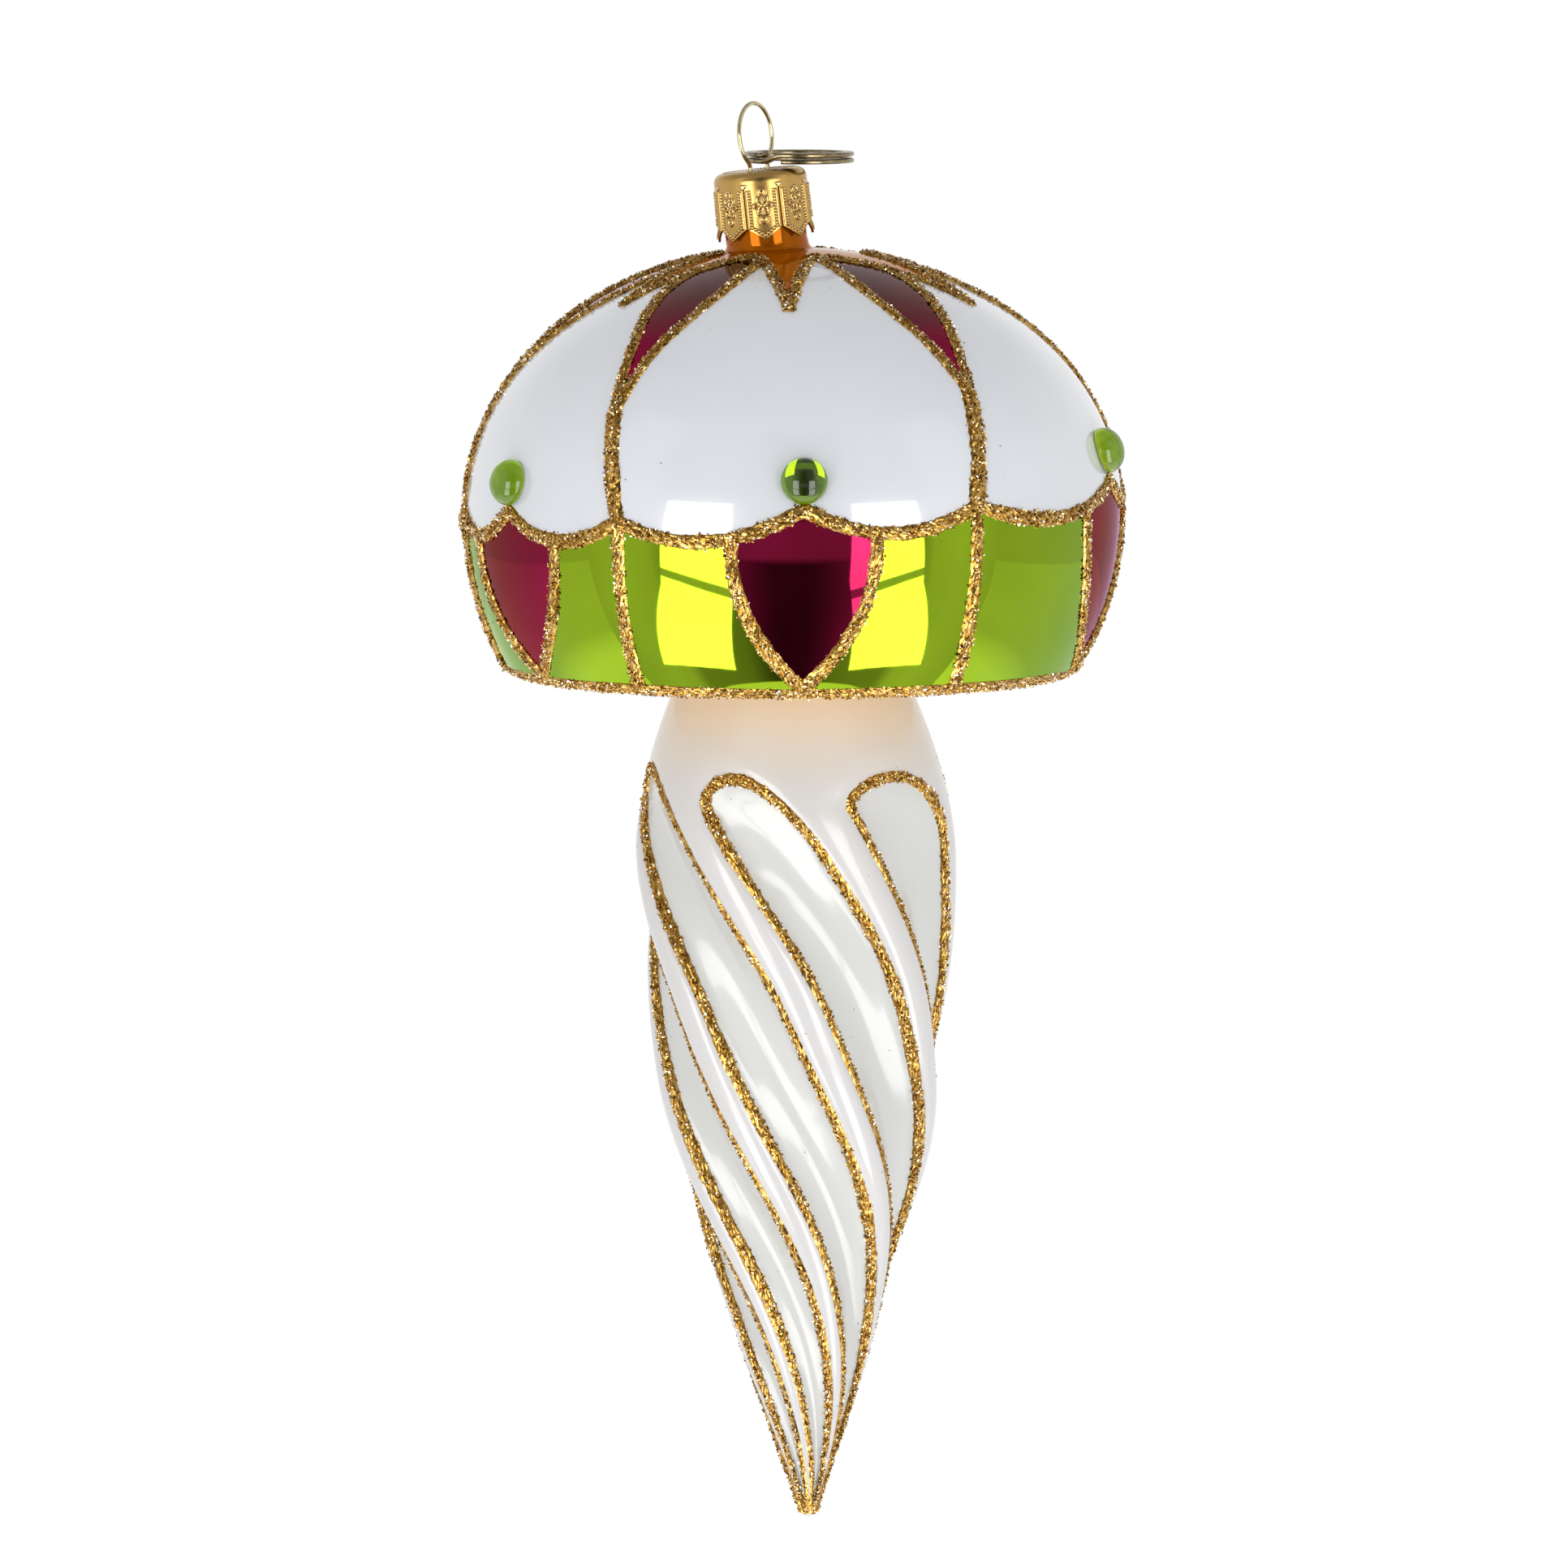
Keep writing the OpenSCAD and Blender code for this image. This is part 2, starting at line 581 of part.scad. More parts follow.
// A place on the cap under a point seen from above
function place_over(p) = [atan2(p[0], -p[1]), lat_of_reach(norm(p))];
function turned(p, a) = [p[0] * cos(a) - p[1] * sin(a), p[0] * sin(a) + p[1] * cos(a)];
function along(p, q, n) = [for (i = [0:n - 1]) mix(p, q, i / n)];
// Share of a dart's upper edge that its line follows, clear of a star point that stands off by angle a
function dart_share(a) = let (
    arm = unit(polar(star_reach, a) - polar(star_waist, 0)),
    start = (dart_shoulder - star_waist) * arm[0] + dart_half * arm[1],
    stop = dart_foot * arm[1])
    (start - thin_w - line_gap) / (start - stop);
function dart_side(a) = let (o = dart_outline(0), end = mix(o[1], o[2], dart_share(a)))
    concat(along(o[0], o[1], 5), along(o[1], end, 3), [end]);
arm_steps = 4;
module gold_dart_lines() {
    color("goldenrod") hung() for (k = [0:sectors - 1]) {
        a = petal_line_at[k];
        before = (k + sectors - 1) % sectors;
        right = dart_side(star_at[k] - a);
        left = dart_side(a - star_at[before] + (k > 0 ? 0 : 360));
        path = concat([for (i = [len(left) - 1:-1:1]) [-left[i][0], left[i][1]]], right);
        cap_bead([for (p = path) place_over(turned(p, a))], thin_w);
    }
}

module gold_star_line() {
    c = star_corners(0);
    n = len(c);
    path = [for (i = [0:n - 1]) each along(c[i], c[(i + 1) % n], arm_steps)];
    color("goldenrod") hung() cap_bead([for (p = path) place_over(p)], thin_w, true);
}

module gold_shield_lines() {
    color("goldenrod") hung() for (k = [0:sectors - 1]) {
        c = shield_at[k];
        shares = steps(shield_line_start, shield_line_stop, side_steps);
        down = [for (s = shares) [-shield_side(s), shield_z(k, -1, s)]];
        up = [for (i = [side_steps:-1:0]) [shield_side(shares[i]), shield_z(k, 1, shares[i])]];
        tip = [0, shield_z(k, 1, shield_line_tip)];
        places = [for (p = concat(down, [tip], up)) let (t = latitude(p[1]))
            [c + asin(p[0] / (cap_r * cos(t))), t]];
        cap_bead(places, line_w);
    }
}

// Outline of one panel: up one side, over its arch and down the other
line_rings = 24;
arch_rings = 10;
module gold_stem_line(i) {
    ends = [arch_drop + arch(-line_phase), arch_drop + arch(line_phase)];
    left = [for (j = [line_rings:-1:1]) [-line_phase, mix(ends[0], stem_line_end, j / line_rings)]];
    top = [for (b = steps(0, 180, arch_rings)) let (f = -line_phase * cos(b))
        [f, arch_drop + arch(f) * (1 - sin(b))]];
    right = [for (j = [1:line_rings]) [line_phase, mix(ends[1], stem_line_end, j / line_rings)]];
    path = concat(left, top, right);
    color("goldenrod") hung() bead(
        [for (q = path) on_stem(i - 1, q[0], q[1], 0) + stem_normal(i - 1, q[0], q[1]) * glitter_seat],
        [for (q = path) stem_normal(i - 1, q[0], q[1])],
        [for (q = path) min(stem_line_w, line_taper * stem_crest(q[1]))]);
}

// Stamped crown: a shouldered cup with slit, pointed petals and two wire holes
module crown_cap() {
    s = shoulder;
    t = crown_sheet;
    round_out = [for (b = steps(90, 0, 5)) [crown_r - s + s * cos(b), crown_top - s + s * sin(b)]];
    round_in = [for (b = steps(0, 90, 5))
        [crown_r - s + (s - t) * cos(b), crown_top - s + (s - t) * sin(b)]];
    pitch = 360 / points;
    half = crown_r * tan(pitch / 2);
    color("gold") hung() on_neck() difference() {
        rotate_extrude() polygon(concat([[0, crown_top]], round_out,
            [[crown_r, crown_low], [crown_r - t, crown_low]], round_in, [[0, crown_top - t]]));
        for (k = [0:points - 1]) facing((k + 0.5) * pitch) {
            front_prism([[-slit_w / 2, 0], [slit_w / 2, 0], [slit_w / 2, slit_top], [-slit_w / 2, slit_top]]);
            front_prism([[-half, crown_low - 1], [half, crown_low - 1], [half, crown_low],
                         [0, crown_low + point_h], [-half, crown_low]]);
        }
        facing(loop_turn) for (side = [-1, 1])
            translate([side * leg_x, 0, crown_top - 2 * t]) cylinder(r = wire_r + wire_fit, h = 4 * t);
    }
}

// A bent stretch of wire in the x-z plane, round a centre, between two angles
module wire_arc(centre, r, a0, a1) {
    translate([centre[0], 0, centre[1]]) rotate([90, 0, 0]) rotate([0, 0, a0])
        rotate_extrude(angle = a1 - a0) translate([r, 0]) circle(r = wire_r);
}

// Rounded meeting of two stretches of wire
module wire_knee(p) {
    translate([p[0], 0, p[1]]) sphere(r = wire_r + knee);
}

// Spring hanger: a round loop over two legs that splay inside the cap
module hanger_wire() {
    elbow = [leg_x + elbow_r, leg_low];
    foot = [elbow[0] - elbow_r * cos(splay), elbow[1] - elbow_r * sin(splay)];
    loop_end = [loop_r * sin(bend_turn), loop_z - loop_r * cos(bend_turn)];
    color("khaki") hung() on_neck() facing(loop_turn) {
        wire_arc([0, loop_z], loop_r, bend_turn - 90, 270 - bend_turn);
        for (side = [0, 1]) mirror([side, 0, 0]) {
            wire_arc([leg_x + bend_r, bend_z], bend_r, 90 + bend_turn, 180);
            translate([leg_x, 0, leg_low]) cylinder(r = wire_r, h = bend_z - leg_low);
            wire_arc(elbow, elbow_r, 180, 180 + splay);
            translate([foot[0], 0, foot[1]]) rotate([0, 180 - splay, 0]) cylinder(r = wire_r, h = splay_len);
            for (p = [loop_end, [leg_x, bend_z], [leg_x, leg_low], foot]) wire_knee(p);
        }
    }
}

// Split ring: two stacked turns of flat wire with a seam and cut ends
module split_ring() {
    r1 = ring_d / 2;
    r0 = r1 - ring_w;
    e = ring_edge;
    h = ring_turn_h;
    color("darkgoldenrod") hung() translate(crown_mid + [ring_at[0], ring_at[1], ring_z]) difference() {
        rotate_extrude() {
            for (z = [0, h + ring_seam]) translate([0, z]) polygon([[r0 + e, 0], [r1 - e, 0], [r1, e],
                [r1, h - e], [r1 - e, h], [r0 + e, h], [r0, h - e], [r0, e]]);
            translate([r0 + 2 * e, h / 2]) square([ring_w - 4 * e, ring_h - h]);
        }
        for (cut = [[-100, 0], [-80, h + ring_seam / 2]]) facing(cut[0])
            translate([-ring_cut / 2, -r1 - 1, cut[1]]) cube([ring_cut, ring_w + 2, ring_h / 2]);
    }
}

cap_shell();
stem_shell();
amber_neck_coat();
amber_star_coat();
for (k = [1:sectors]) {
    white_petal(k - 1);
    wine_dart(k - 1);
    wine_shield(k - 1);
    cabochon(k - 1);
}
for (k = [1:2 * sectors]) lime_panel(k);
gold_rim();
gold_swag_border();
gold_petal_lines();
gold_dart_lines();
gold_star_line();
gold_shield_lines();
for (k = [1:ridges]) gold_stem_line(k);
crown_cap();
hanger_wire();
split_ring();
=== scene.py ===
import bpy
import numpy as np
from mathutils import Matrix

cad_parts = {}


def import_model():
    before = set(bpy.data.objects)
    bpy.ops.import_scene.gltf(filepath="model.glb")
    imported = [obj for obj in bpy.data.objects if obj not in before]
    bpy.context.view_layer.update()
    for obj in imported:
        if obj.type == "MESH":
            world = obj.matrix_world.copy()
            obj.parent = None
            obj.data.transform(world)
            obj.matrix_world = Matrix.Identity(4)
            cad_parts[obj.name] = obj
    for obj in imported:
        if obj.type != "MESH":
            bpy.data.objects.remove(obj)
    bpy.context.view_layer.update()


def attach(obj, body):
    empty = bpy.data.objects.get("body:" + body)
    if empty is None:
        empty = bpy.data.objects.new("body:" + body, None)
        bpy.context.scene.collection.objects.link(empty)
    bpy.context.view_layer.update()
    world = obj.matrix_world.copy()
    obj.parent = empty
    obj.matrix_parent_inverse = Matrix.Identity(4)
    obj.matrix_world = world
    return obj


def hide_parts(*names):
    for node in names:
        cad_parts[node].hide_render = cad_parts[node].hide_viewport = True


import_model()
rng = np.random.default_rng(26)
chain, steps = np.concatenate, np.linspace

# Lengths are in millimetres in the glass's own frame: z = 0 at the cap's widest line, front is -Y.
# Angles round the axis are counted from the front, positive towards +X, in degrees.
# row() turns them into metres in the row frame when a mesh is made.
MM = 0.001

# Cap; the coats of the band run a little way under the gold of the rim
CAP_R, DOME_H, RIM_DROP, RIM_ROUND, CAP_WALL = 40.3, 31.75, 20.0, 3.2, 0.9
RIM_Z = RIM_ROUND - RIM_DROP
RIM_R = np.sqrt((CAP_R - RIM_ROUND) ** 2 - RIM_Z ** 2)
RIM_LAT = np.degrees(np.arcsin(RIM_Z / (CAP_R - RIM_ROUND)))
BAND_TUCK, SHIELD_TUCK = 0.8, 0.2
COAT_LOW = RIM_LAT - BAND_TUCK
SEAT_Z, COLLAR_R, MOUTH_R = -18.5, 13.0, 10.0
COAT_SEAT, COAT_TOP, LOOSE_UP = 0.03, 0.15, 0.03

# Neck, crown and wire
NECK_SHIFT, NECK_LEAN, NECK_FOOT = -3.0, 6.0, 31.5
NECK_R, BORE_R, NECK_TOP, NECK_ROOT, NECK_FILLET = 4.85, 3.95, 9.25, -2.5, 0.85
CROWN_LOW, CROWN_TOP, CROWN_R, CROWN_SHOULDER = 1.6, 9.9, 5.7, 1.2
CROWN_SHEET, SLIT_W, SLIT_TOP, POINT_H, POINTS = 0.3, 0.16, 7.8, 1.5, 8
# The wire is drawn thinner than the solid, as the photo shows it
WIRE_R, WIRE_SEEN_R, LOOP_R, LEG_X, BEND_R, LEG_LOW = 0.325, 0.26, 3.925, 2.1, 1.2, 5.0
LOOP_TURN, SPLAY, SPLAY_LEN, ELBOW_R = 60.0, 8.0, 17.0, 4.0
LOOP_Z = CROWN_TOP + LOOP_R + WIRE_R
HANG_S = LOOP_Z + LOOP_R - WIRE_R
LEAN = np.radians(NECK_LEAN)
NECK_TURN = np.array([[np.cos(LEAN), 0, np.sin(LEAN)], [0, 1, 0], [-np.sin(LEAN), 0, np.cos(LEAN)]])
NECK_AT = np.array([NECK_SHIFT, 0, NECK_FOOT])
HANG = NECK_AT + HANG_S * NECK_TURN[2]

# Painted pattern: angles of the petal lines, with the first again as the last, shields and star points
PETAL_LINE = [-31, 33, 95, 155, 217, 280, 329]
SHIELD_AT = [2, 74, 125, 186, 248, 302.5]
STAR_AT = [-1, 64] + SHIELD_AT[2:]
# The petal lines slant up to the darts' own angles, and the star's waist lies where the brush turned
DART_AT = [-35.5, 37] + PETAL_LINE[2:-1]
WAIST_AT = [-29, 16.5] + PETAL_LINE[2:-1]
SECTORS = len(SHIELD_AT)
BORDER_JOINT, BORDER_PEAK, SWAG_SAG, BORDER_TILT = 1.9, 2.75, 3.0, 2.4
TILT_RISE = CAP_R * np.tan(np.radians(BORDER_TILT))
SHIELD_HALF, SHIELD_BELLY = 8.7, 2.3
SHIELD_ANGLE = np.degrees(np.arcsin(SHIELD_HALF / CAP_R))
SHIELD_LOW = CAP_R * np.sin(np.radians(COAT_LOW)) - SHIELD_TUCK
STAR_REACH, STAR_WAIST = 24.4, 8.7
DART_REACH = [37.0] + [35.5] * (SECTORS - 1)
DART_SHOULDER, DART_HALF, DART_FOOT = 21.0, 4.2, 3.2
# A dart's outline below its apex: shares of its half width at distances from the axis
DART_BULGE = [(0.42, 30.4), (0.80, 25.8), (1.0, DART_SHOULDER), (0.99, 17.5)]
GEM_D, GEM_H, GEM_UP, GEM_RISE, GEM_UNDERCUT = 5.6, 2.6, 6.0, 0.35, 16

# Stem; each ridge starts off its even place and comes back to it further down
STEM_LEN, RIDGES, FIRST_RIDGE, TWIST = 107.0, 7, -210.7, 1.41
RIDGE_SET, RIDGE_TOP, RIDGE_FADE = [0, -10, -22, -15.5, -12, 18, 9], 8.0, 34.0
TIP_TURN, TURN_START, TURN_LEN = 16.0, 45.0, 50.0
STEM_KNOTS = [(0, 13.0, 0.45), (25, 19.75, 0), (52.5, 17.6, -0.13), (85, 8.4, -0.29), (107, 0.8, -0.33)]
STEM_LEAN = np.tan(np.radians(1.1))
PANEL_STEP, PANEL_HOLLOW, FULL_SINK_R, FIRST_SINK, SINK_RAMP = 1.2, 2.6, 17.0, 0.35, 14.0
PANEL_IN, PANEL_OUT = 0.74, 1.26
ARCH_DROP, ARCH_H, ARCH_SKEW, LINE_PHASE, LINE_END = 13.4, 6.4, 0.36, 0.331, 106.7


def row(p):
    return (np.asarray(p, float) - HANG) * MM


def row_z(z):
    return row([0, 0, z])[2]


def sin(a):
    return np.sin(np.radians(a))


def cos(a):
    return np.cos(np.radians(a))


def mix(a, b, f):
    return a + (b - a) * f


def unit(v):
    return v / np.maximum(np.linalg.norm(v, axis=-1, keepdims=True), 1e-12)


def smooth(x):
    c = np.clip(x, 0, 1)
    return c * c * (3 - 2 * c)


def columns(*parts):
    """Points or faces from their coordinates or corners."""
    return np.stack(np.broadcast_arrays(*parts), -1)


def polar(r, a):
    """Plan points r from the axis at angle a."""
    return columns(r * sin(a), -r * cos(a))


def around(r, a, z):
    """Points r from the axis at angle a and height z."""
    return columns(r * sin(a), -r * cos(a), z)


def bearing(p):
    """Angle of points round the axis."""
    return np.degrees(np.arctan2(p[..., 0], -p[..., 1]))


# Cap surface
def dome_axis(t):
    return np.where(np.asarray(t) > 0, DOME_H, CAP_R)


def on_cap(a, t, d=0.0):
    return around((CAP_R + d) * cos(t), a, (dome_axis(t) + d) * sin(t))


def cap_normal(a, t):
    n = unit(columns(cos(t) / CAP_R, sin(t) / dome_axis(t)))
    return around(n[..., 0], a, n[..., 1])


def latitude(z):
    return np.degrees(np.arcsin(np.clip(z / dome_axis(z), -1, 1)))


def cap_place(p):
    """Angle and latitude of the cap's surface under points near it."""
    r = np.hypot(p[..., 0], p[..., 1])
    return bearing(p), np.degrees(np.arctan2(p[..., 2] / dome_axis(p[..., 2]), r / CAP_R))


def over_plan(p):
    """Angle and latitude of the dome over points seen from above."""
    return bearing(p), np.degrees(np.arccos(np.hypot(p[..., 0], p[..., 1]) / CAP_R))


def border(k, a):
    """Height of the painted border of sector k."""
    a = np.asarray(a, float)
    left, mid, right = PETAL_LINE[k], SHIELD_AT[k], PETAL_LINE[k + 1]
    f = np.where(a < mid, (a - left) / (mid - left), (right - a) / (right - mid))
    swag = mix(BORDER_JOINT, BORDER_PEAK, f) - 4 * SWAG_SAG * f * (1 - f)
    return TILT_RISE * sin(a) + swag


def shield_side(k, side, s):
    """Angle and latitude of a shield's edge at a share s of the way down."""
    z = mix(border(k, SHIELD_AT[k] + side * SHIELD_ANGLE), SHIELD_LOW, s)
    t = latitude(z)
    across = side * SHIELD_HALF * (1 - s ** SHIELD_BELLY)
    return SHIELD_AT[k] + np.degrees(np.arcsin(across / (CAP_R * cos(t)))), t


# Stem surface
def stem_crest(u):
    """Radius over the ridges at a drop u: smooth between knots of drop, radius and slope."""
    u = np.asarray(u, float)
    r = np.zeros_like(u)
    for (u0, r0, m0), (u1, r1, m1) in zip(STEM_KNOTS[:-1], STEM_KNOTS[1:]):
        h = u1 - u0
        f = (u - u0) / h
        g = 1 - f
        value = r0 * (1 + 2 * f) * g * g + r1 * (3 - 2 * f) * f * f + h * f * g * (m0 * g - m1 * f)
        r = np.where(u >= u0, value, r)
    return r


def ridge_angle(i, u):
    i = np.asarray(i, int)
    return (FIRST_RIDGE + i * 360 / RIDGES + TWIST * u + TIP_TURN * smooth((u - TURN_START) / TURN_LEN)
            + np.array(RIDGE_SET)[i % RIDGES] * (1 - smooth((u - RIDGE_TOP) / RIDGE_FADE)))


def arch(f):
    return ARCH_H * (1 + ARCH_SKEW * f / LINE_PHASE)


def sink_share(u):
    grown = mix(FIRST_SINK, 1, smooth((u - ARCH_DROP) / SINK_RAMP))
    return np.minimum(1, stem_crest(u) / FULL_SINK_R) * grown


def panel_place(f, u):
    """0 on the middle of a panel, 1 on its gold outline."""
    return np.hypot(f / LINE_PHASE, np.maximum(0, ARCH_DROP + arch(f) - u) / arch(f))


def panel_share(f, u):
    """1 inside a panel's outline, falling to 0 on the ridges."""
    return 1 - smooth((panel_place(f, u) - PANEL_IN) / (PANEL_OUT - PANEL_IN))


def on_stem(i, f, u, d=0.0):
    """Points on panel i at phase f, -0.5 to 0.5 from ridge to ridge, and drop u below the cap."""
    i, f, u = np.broadcast_arrays(i, f, u)
    a = mix(ridge_angle(i, u), ridge_angle(i + 1, u), f + 0.5)
    hollow = (1 + cos(np.minimum(180, 360 * LINE_PHASE * panel_place(f, u)))) / 2
    r = stem_crest(u) - sink_share(u) * (PANEL_STEP * panel_share(f, u) + PANEL_HOLLOW * hollow) + d
    return columns(u * STEM_LEAN + r * sin(a), -r * cos(a), SEAT_Z - u)


def stem_normal(i, f, u):
    e = 0.01
    return unit(np.cross(on_stem(i, f, u + e) - on_stem(i, f, u - e),
                         on_stem(i, f + e, u) - on_stem(i, f - e, u)))


def on_neck(p):
    """From the leaned neck's own frame to the glass frame."""
    return np.asarray(p, float) @ NECK_TURN + NECK_AT


# Mesh making
def put(name, data):
    """A new object in the scene."""
    piece = bpy.data.objects.new(name, data)
    bpy.context.scene.collection.objects.link(piece)
    return piece


def put_mesh(name, verts, faces, paint, flat):
    """A new mesh in the scene; faces are an array, or a list of arrays for several numbers of corners."""
    mesh = bpy.data.meshes.new(name)
    faces = faces if isinstance(faces, list) else [faces]
    mesh.from_pydata(verts, [], [face for part in faces for face in part.tolist()], shade_flat=flat)
    mesh.materials.append(paint)
    return put(name, mesh)


def make_piece(name, verts, faces, paint, body, replaced, flat=False, grain=None):
    """A piece of the object from vertices in the glass frame; grain is a value for each of them."""
    piece = put_mesh(name, row(verts), faces, paint, flat)
    if grain is not None:
        values = piece.data.attributes.new("grain", "FLOAT", "POINT").data
        values.foreach_set("value", grain.astype(np.float32))
    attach(piece, body)
    if replaced:
        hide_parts(*replaced)
    return piece


def grid_faces(n, m, start=0, wrap=False):
    """Quads of a grid with n rows of m points; wrap joins the last column to the first."""
    i, j = np.meshgrid(np.arange(n - 1), np.arange(m if wrap else m - 1), indexing="ij")
    k = (j + 1) % m
    return start + columns(i * m + j, i * m + k, (i + 1) * m + k, (i + 1) * m + j).reshape(-1, 4)


def round_piece(name, grid, paint, replaced, turn=1, grain=None):
    """A piece of the glass from rows of points round an axis; turn -1 turns its faces over."""
    faces = grid_faces(*grid.shape[:2], wrap=True)[:, ::turn]
    make_piece(name, grid.reshape(-1, 3), faces, paint, "glass", replaced, grain=grain)


def outward(verts, faces, centre):
    """Turns the faces over if most of them look towards the centre."""
    a, b, c = (verts[faces[:, corner]] for corner in range(3))
    return faces[:, ::-1] if np.sum(np.cross(b - a, c - a) * (a - centre)) < 0 else faces


def coons(low, high, left, right):
    """A grid between four edge lines: low and high run left to right, left and right run upwards."""
    u = steps(0, 1, len(low))[None, :, None]
    v = steps(0, 1, len(left))[:, None, None]
    corners = mix(mix(low[0], low[-1], u), mix(high[0], high[-1], u), v)
    return mix(low, high, v) + mix(left[:, None], right[:, None], u) - corners


def distance(points):
    """Length along a line up to each of its points."""
    return chain([[0], np.cumsum(np.linalg.norm(np.diff(points, axis=0), axis=1))])


def along(rows, s, at):
    """Rows of numbers that belong to the places s, read off at other places."""
    return np.stack([np.interp(at, s, part) for part in np.transpose(rows)], -1)


def resample(points, count):
    """The same line with evenly spaced points."""
    s = distance(points)
    return along(points, s, steps(0, s[-1], count))


def coat_piece(name, grid, paint):
    """A thin closed coat on the cap over a grid of points near its surface."""
    a, t = cap_place(grid)
    n, m = a.shape
    top, low = (on_cap(a, t, d).reshape(-1, 3) for d in (COAT_TOP, COAT_SEAT))
    faces = outward(top, grid_faces(n, m), 0)
    flipped = faces[:, ::-1] + len(top)
    index = np.arange(n * m).reshape(n, m)
    rim = chain([index[0, :], index[1:, -1], index[-1, -2::-1], index[-2:0:-1, 0]])
    sides = grid_faces(2, len(rim), start=2 * len(top), wrap=True)
    make_piece(name, chain([top, low, top[rim], low[rim]]), chain([faces, flipped, sides]),
               paint, "glass", [name])


def sweep(points, side, up, section):
    """A closed-ended tube along points: section is an outline in (side, up) directions at each point."""
    ring = points[:, None] + section[None, :, :1] * side[:, None] + section[None, :, 1:] * up[:, None]
    n, m = ring.shape[:2]
    ends = np.stack([np.arange(m)[::-1], (n - 1) * m + np.arange(m)])
    return ring.reshape(-1, 3), [grid_faces(n, m, wrap=True), ends]


# Materials
class Nodes:
    """Short ways to add shader nodes."""

    def __init__(self, tree, place="Object"):
        self.tree = tree
        self.place = self.add("ShaderNodeTexCoord").outputs[place]

    def fill(self, node, inputs):
        """Sets a node's inputs, or links them to other nodes' outputs."""
        for key, value in inputs.items():
            if isinstance(value, bpy.types.NodeSocket):
                self.tree.links.new(value, node.inputs[key])
            else:
                node.inputs[key].default_value = value
        return node

    def add(self, kind, inputs=None, **settings):
        node = self.tree.nodes.new(kind)
        for key, value in settings.items():
            setattr(node, key, value)
        return self.fill(node, inputs or {})

    def maths(self, operation, *values):
        return self.add("ShaderNodeMath", dict(enumerate(values)), operation=operation).outputs[0]

    def vector(self, operation, *values, out="Vector"):
        return self.add("ShaderNodeVectorMath", dict(enumerate(values)), operation=operation).outputs[out]

    def ramp(self, value, *stops):
        """A colour ramp over (place, colour) stops; a single number is a grey."""
        made = self.add("ShaderNodeValToRGB", {"Fac": value})
        points = made.color_ramp.elements
        while len(points) < len(stops):
            points.new(0.5)
        for point, (place, colour) in zip(points, stops):
            point.position = place
            point.color = (*np.broadcast_to(colour, 3), 1)
        return made.outputs["Color"]

    def spread(self, value, low, high, start=0.0, end=1.0):
        """A value from start to end spread between low and high."""
        ends = {"From Min": start, "From Max": end, "To Min": low, "To Max": high}
        return self.add("ShaderNodeMapRange", {"Value": value, **ends}).outputs["Result"]

    def noise(self, size, detail, roughness=0.5):
        """Cloudy noise with features of that size in millimetres."""
        kind = {"Scale": 1 / (size * MM), "Detail": detail, "Roughness": roughness}
        return self.add("ShaderNodeTexNoise", {"Vector": self.place, **kind}).outputs["Fac"]

    def height(self):
        return self.add("ShaderNodeSeparateXYZ", {"Vector": self.place}).outputs["Z"]

    def grain(self):
        """The value that make_piece stored on each point."""
        return self.add("ShaderNodeAttribute", attribute_name="grain").outputs["Fac"]

    def rays(self, *kinds):
        """1 for rays of these kinds, 0 for others."""
        path = self.add("ShaderNodeLightPath")
        seen = path.outputs[f"Is {kinds[0]} Ray"]
        for kind in kinds[1:]:
            seen = self.maths("MAXIMUM", seen, path.outputs[f"Is {kind} Ray"])
        return seen


class Paint(Nodes):
    """A new material with its Principled shader."""

    def __init__(self, name, **constants):
        self.made = bpy.data.materials.new(name)
        self.made.use_nodes = True
        super().__init__(self.made.node_tree)
        self.shader = self.tree.nodes["Principled BSDF"]
        self.link(**constants)

    def link(self, **inputs):
        """Sets the shader's inputs, named with _ for spaces."""
        self.fill(self.shader, {key.replace("_", " "): value for key, value in inputs.items()})

    def finish(self, colour, haze, gloss, wave, relief):
        """The material with a colour, a gloss that the haze noise varies, and the wave noise as relief."""
        depth, strength = relief
        bump = self.add("ShaderNodeBump", {"Height": self.noise(*wave), "Distance": depth * MM,
                                           "Strength": strength})
        self.link(Base_Color=colour, Roughness=self.spread(self.noise(*haze), *gloss),
                  Normal=bump.outputs["Normal"])
        return self.made


# The clear skin's index, and what it rises to on the dome from that share of the height
SKIN_IOR, DOME_SKIN_IOR, DOME_SKIN_FROM = 1.2, 2.0, 0.66
# Drops below the cap between which the stem's warm tone, partly its own cream and partly a painted
# reflection of the cream underside above it, fades into white
WARM_FROM, WARM_TO = 3.0, 15.0


def mirror_lacquer(name, thin, full, edge, rough=0.035, silvered=1.0, skin=1.0, gloss=0.5, shade_by_height=None):
    """Clear coloured lacquer over silvered glass: thinner and fuller places, brush haze, wavy blown glass.

    The edge colour shows at a glancing view. With pairs of a height and a share of the colour,
    the colour changes up the dome, its darkening near the top a painted shade, and the clear skin mirrors
    more near the top.
    """
    paint = Paint(name, Metallic=silvered, Coat_Weight=skin, Coat_Roughness=0.02, Coat_IOR=SKIN_IOR,
                  Specular_IOR_Level=gloss, Specular_Tint=(*edge, 1))
    colour = paint.ramp(paint.noise(14, 2), (0.3, full), (0.72, thin))
    if shade_by_height:
        low, top = shade_by_height[0][0], shade_by_height[-1][0]
        up = paint.spread(paint.height(), 0, 1, row_z(low), row_z(top))
        share = paint.ramp(up, *(((z - low) / (top - low), g) for z, g in shade_by_height))
        colour = paint.vector("MULTIPLY", colour, share)
        paint.link(Coat_IOR=paint.spread(up, SKIN_IOR, DOME_SKIN_IOR, DOME_SKIN_FROM))
    return paint.finish(colour, haze=(1.3, 5, 0.65), gloss=(rough * 0.5, rough * 1.6), wave=(9, 1),
                        relief=(0.02, 0.5))


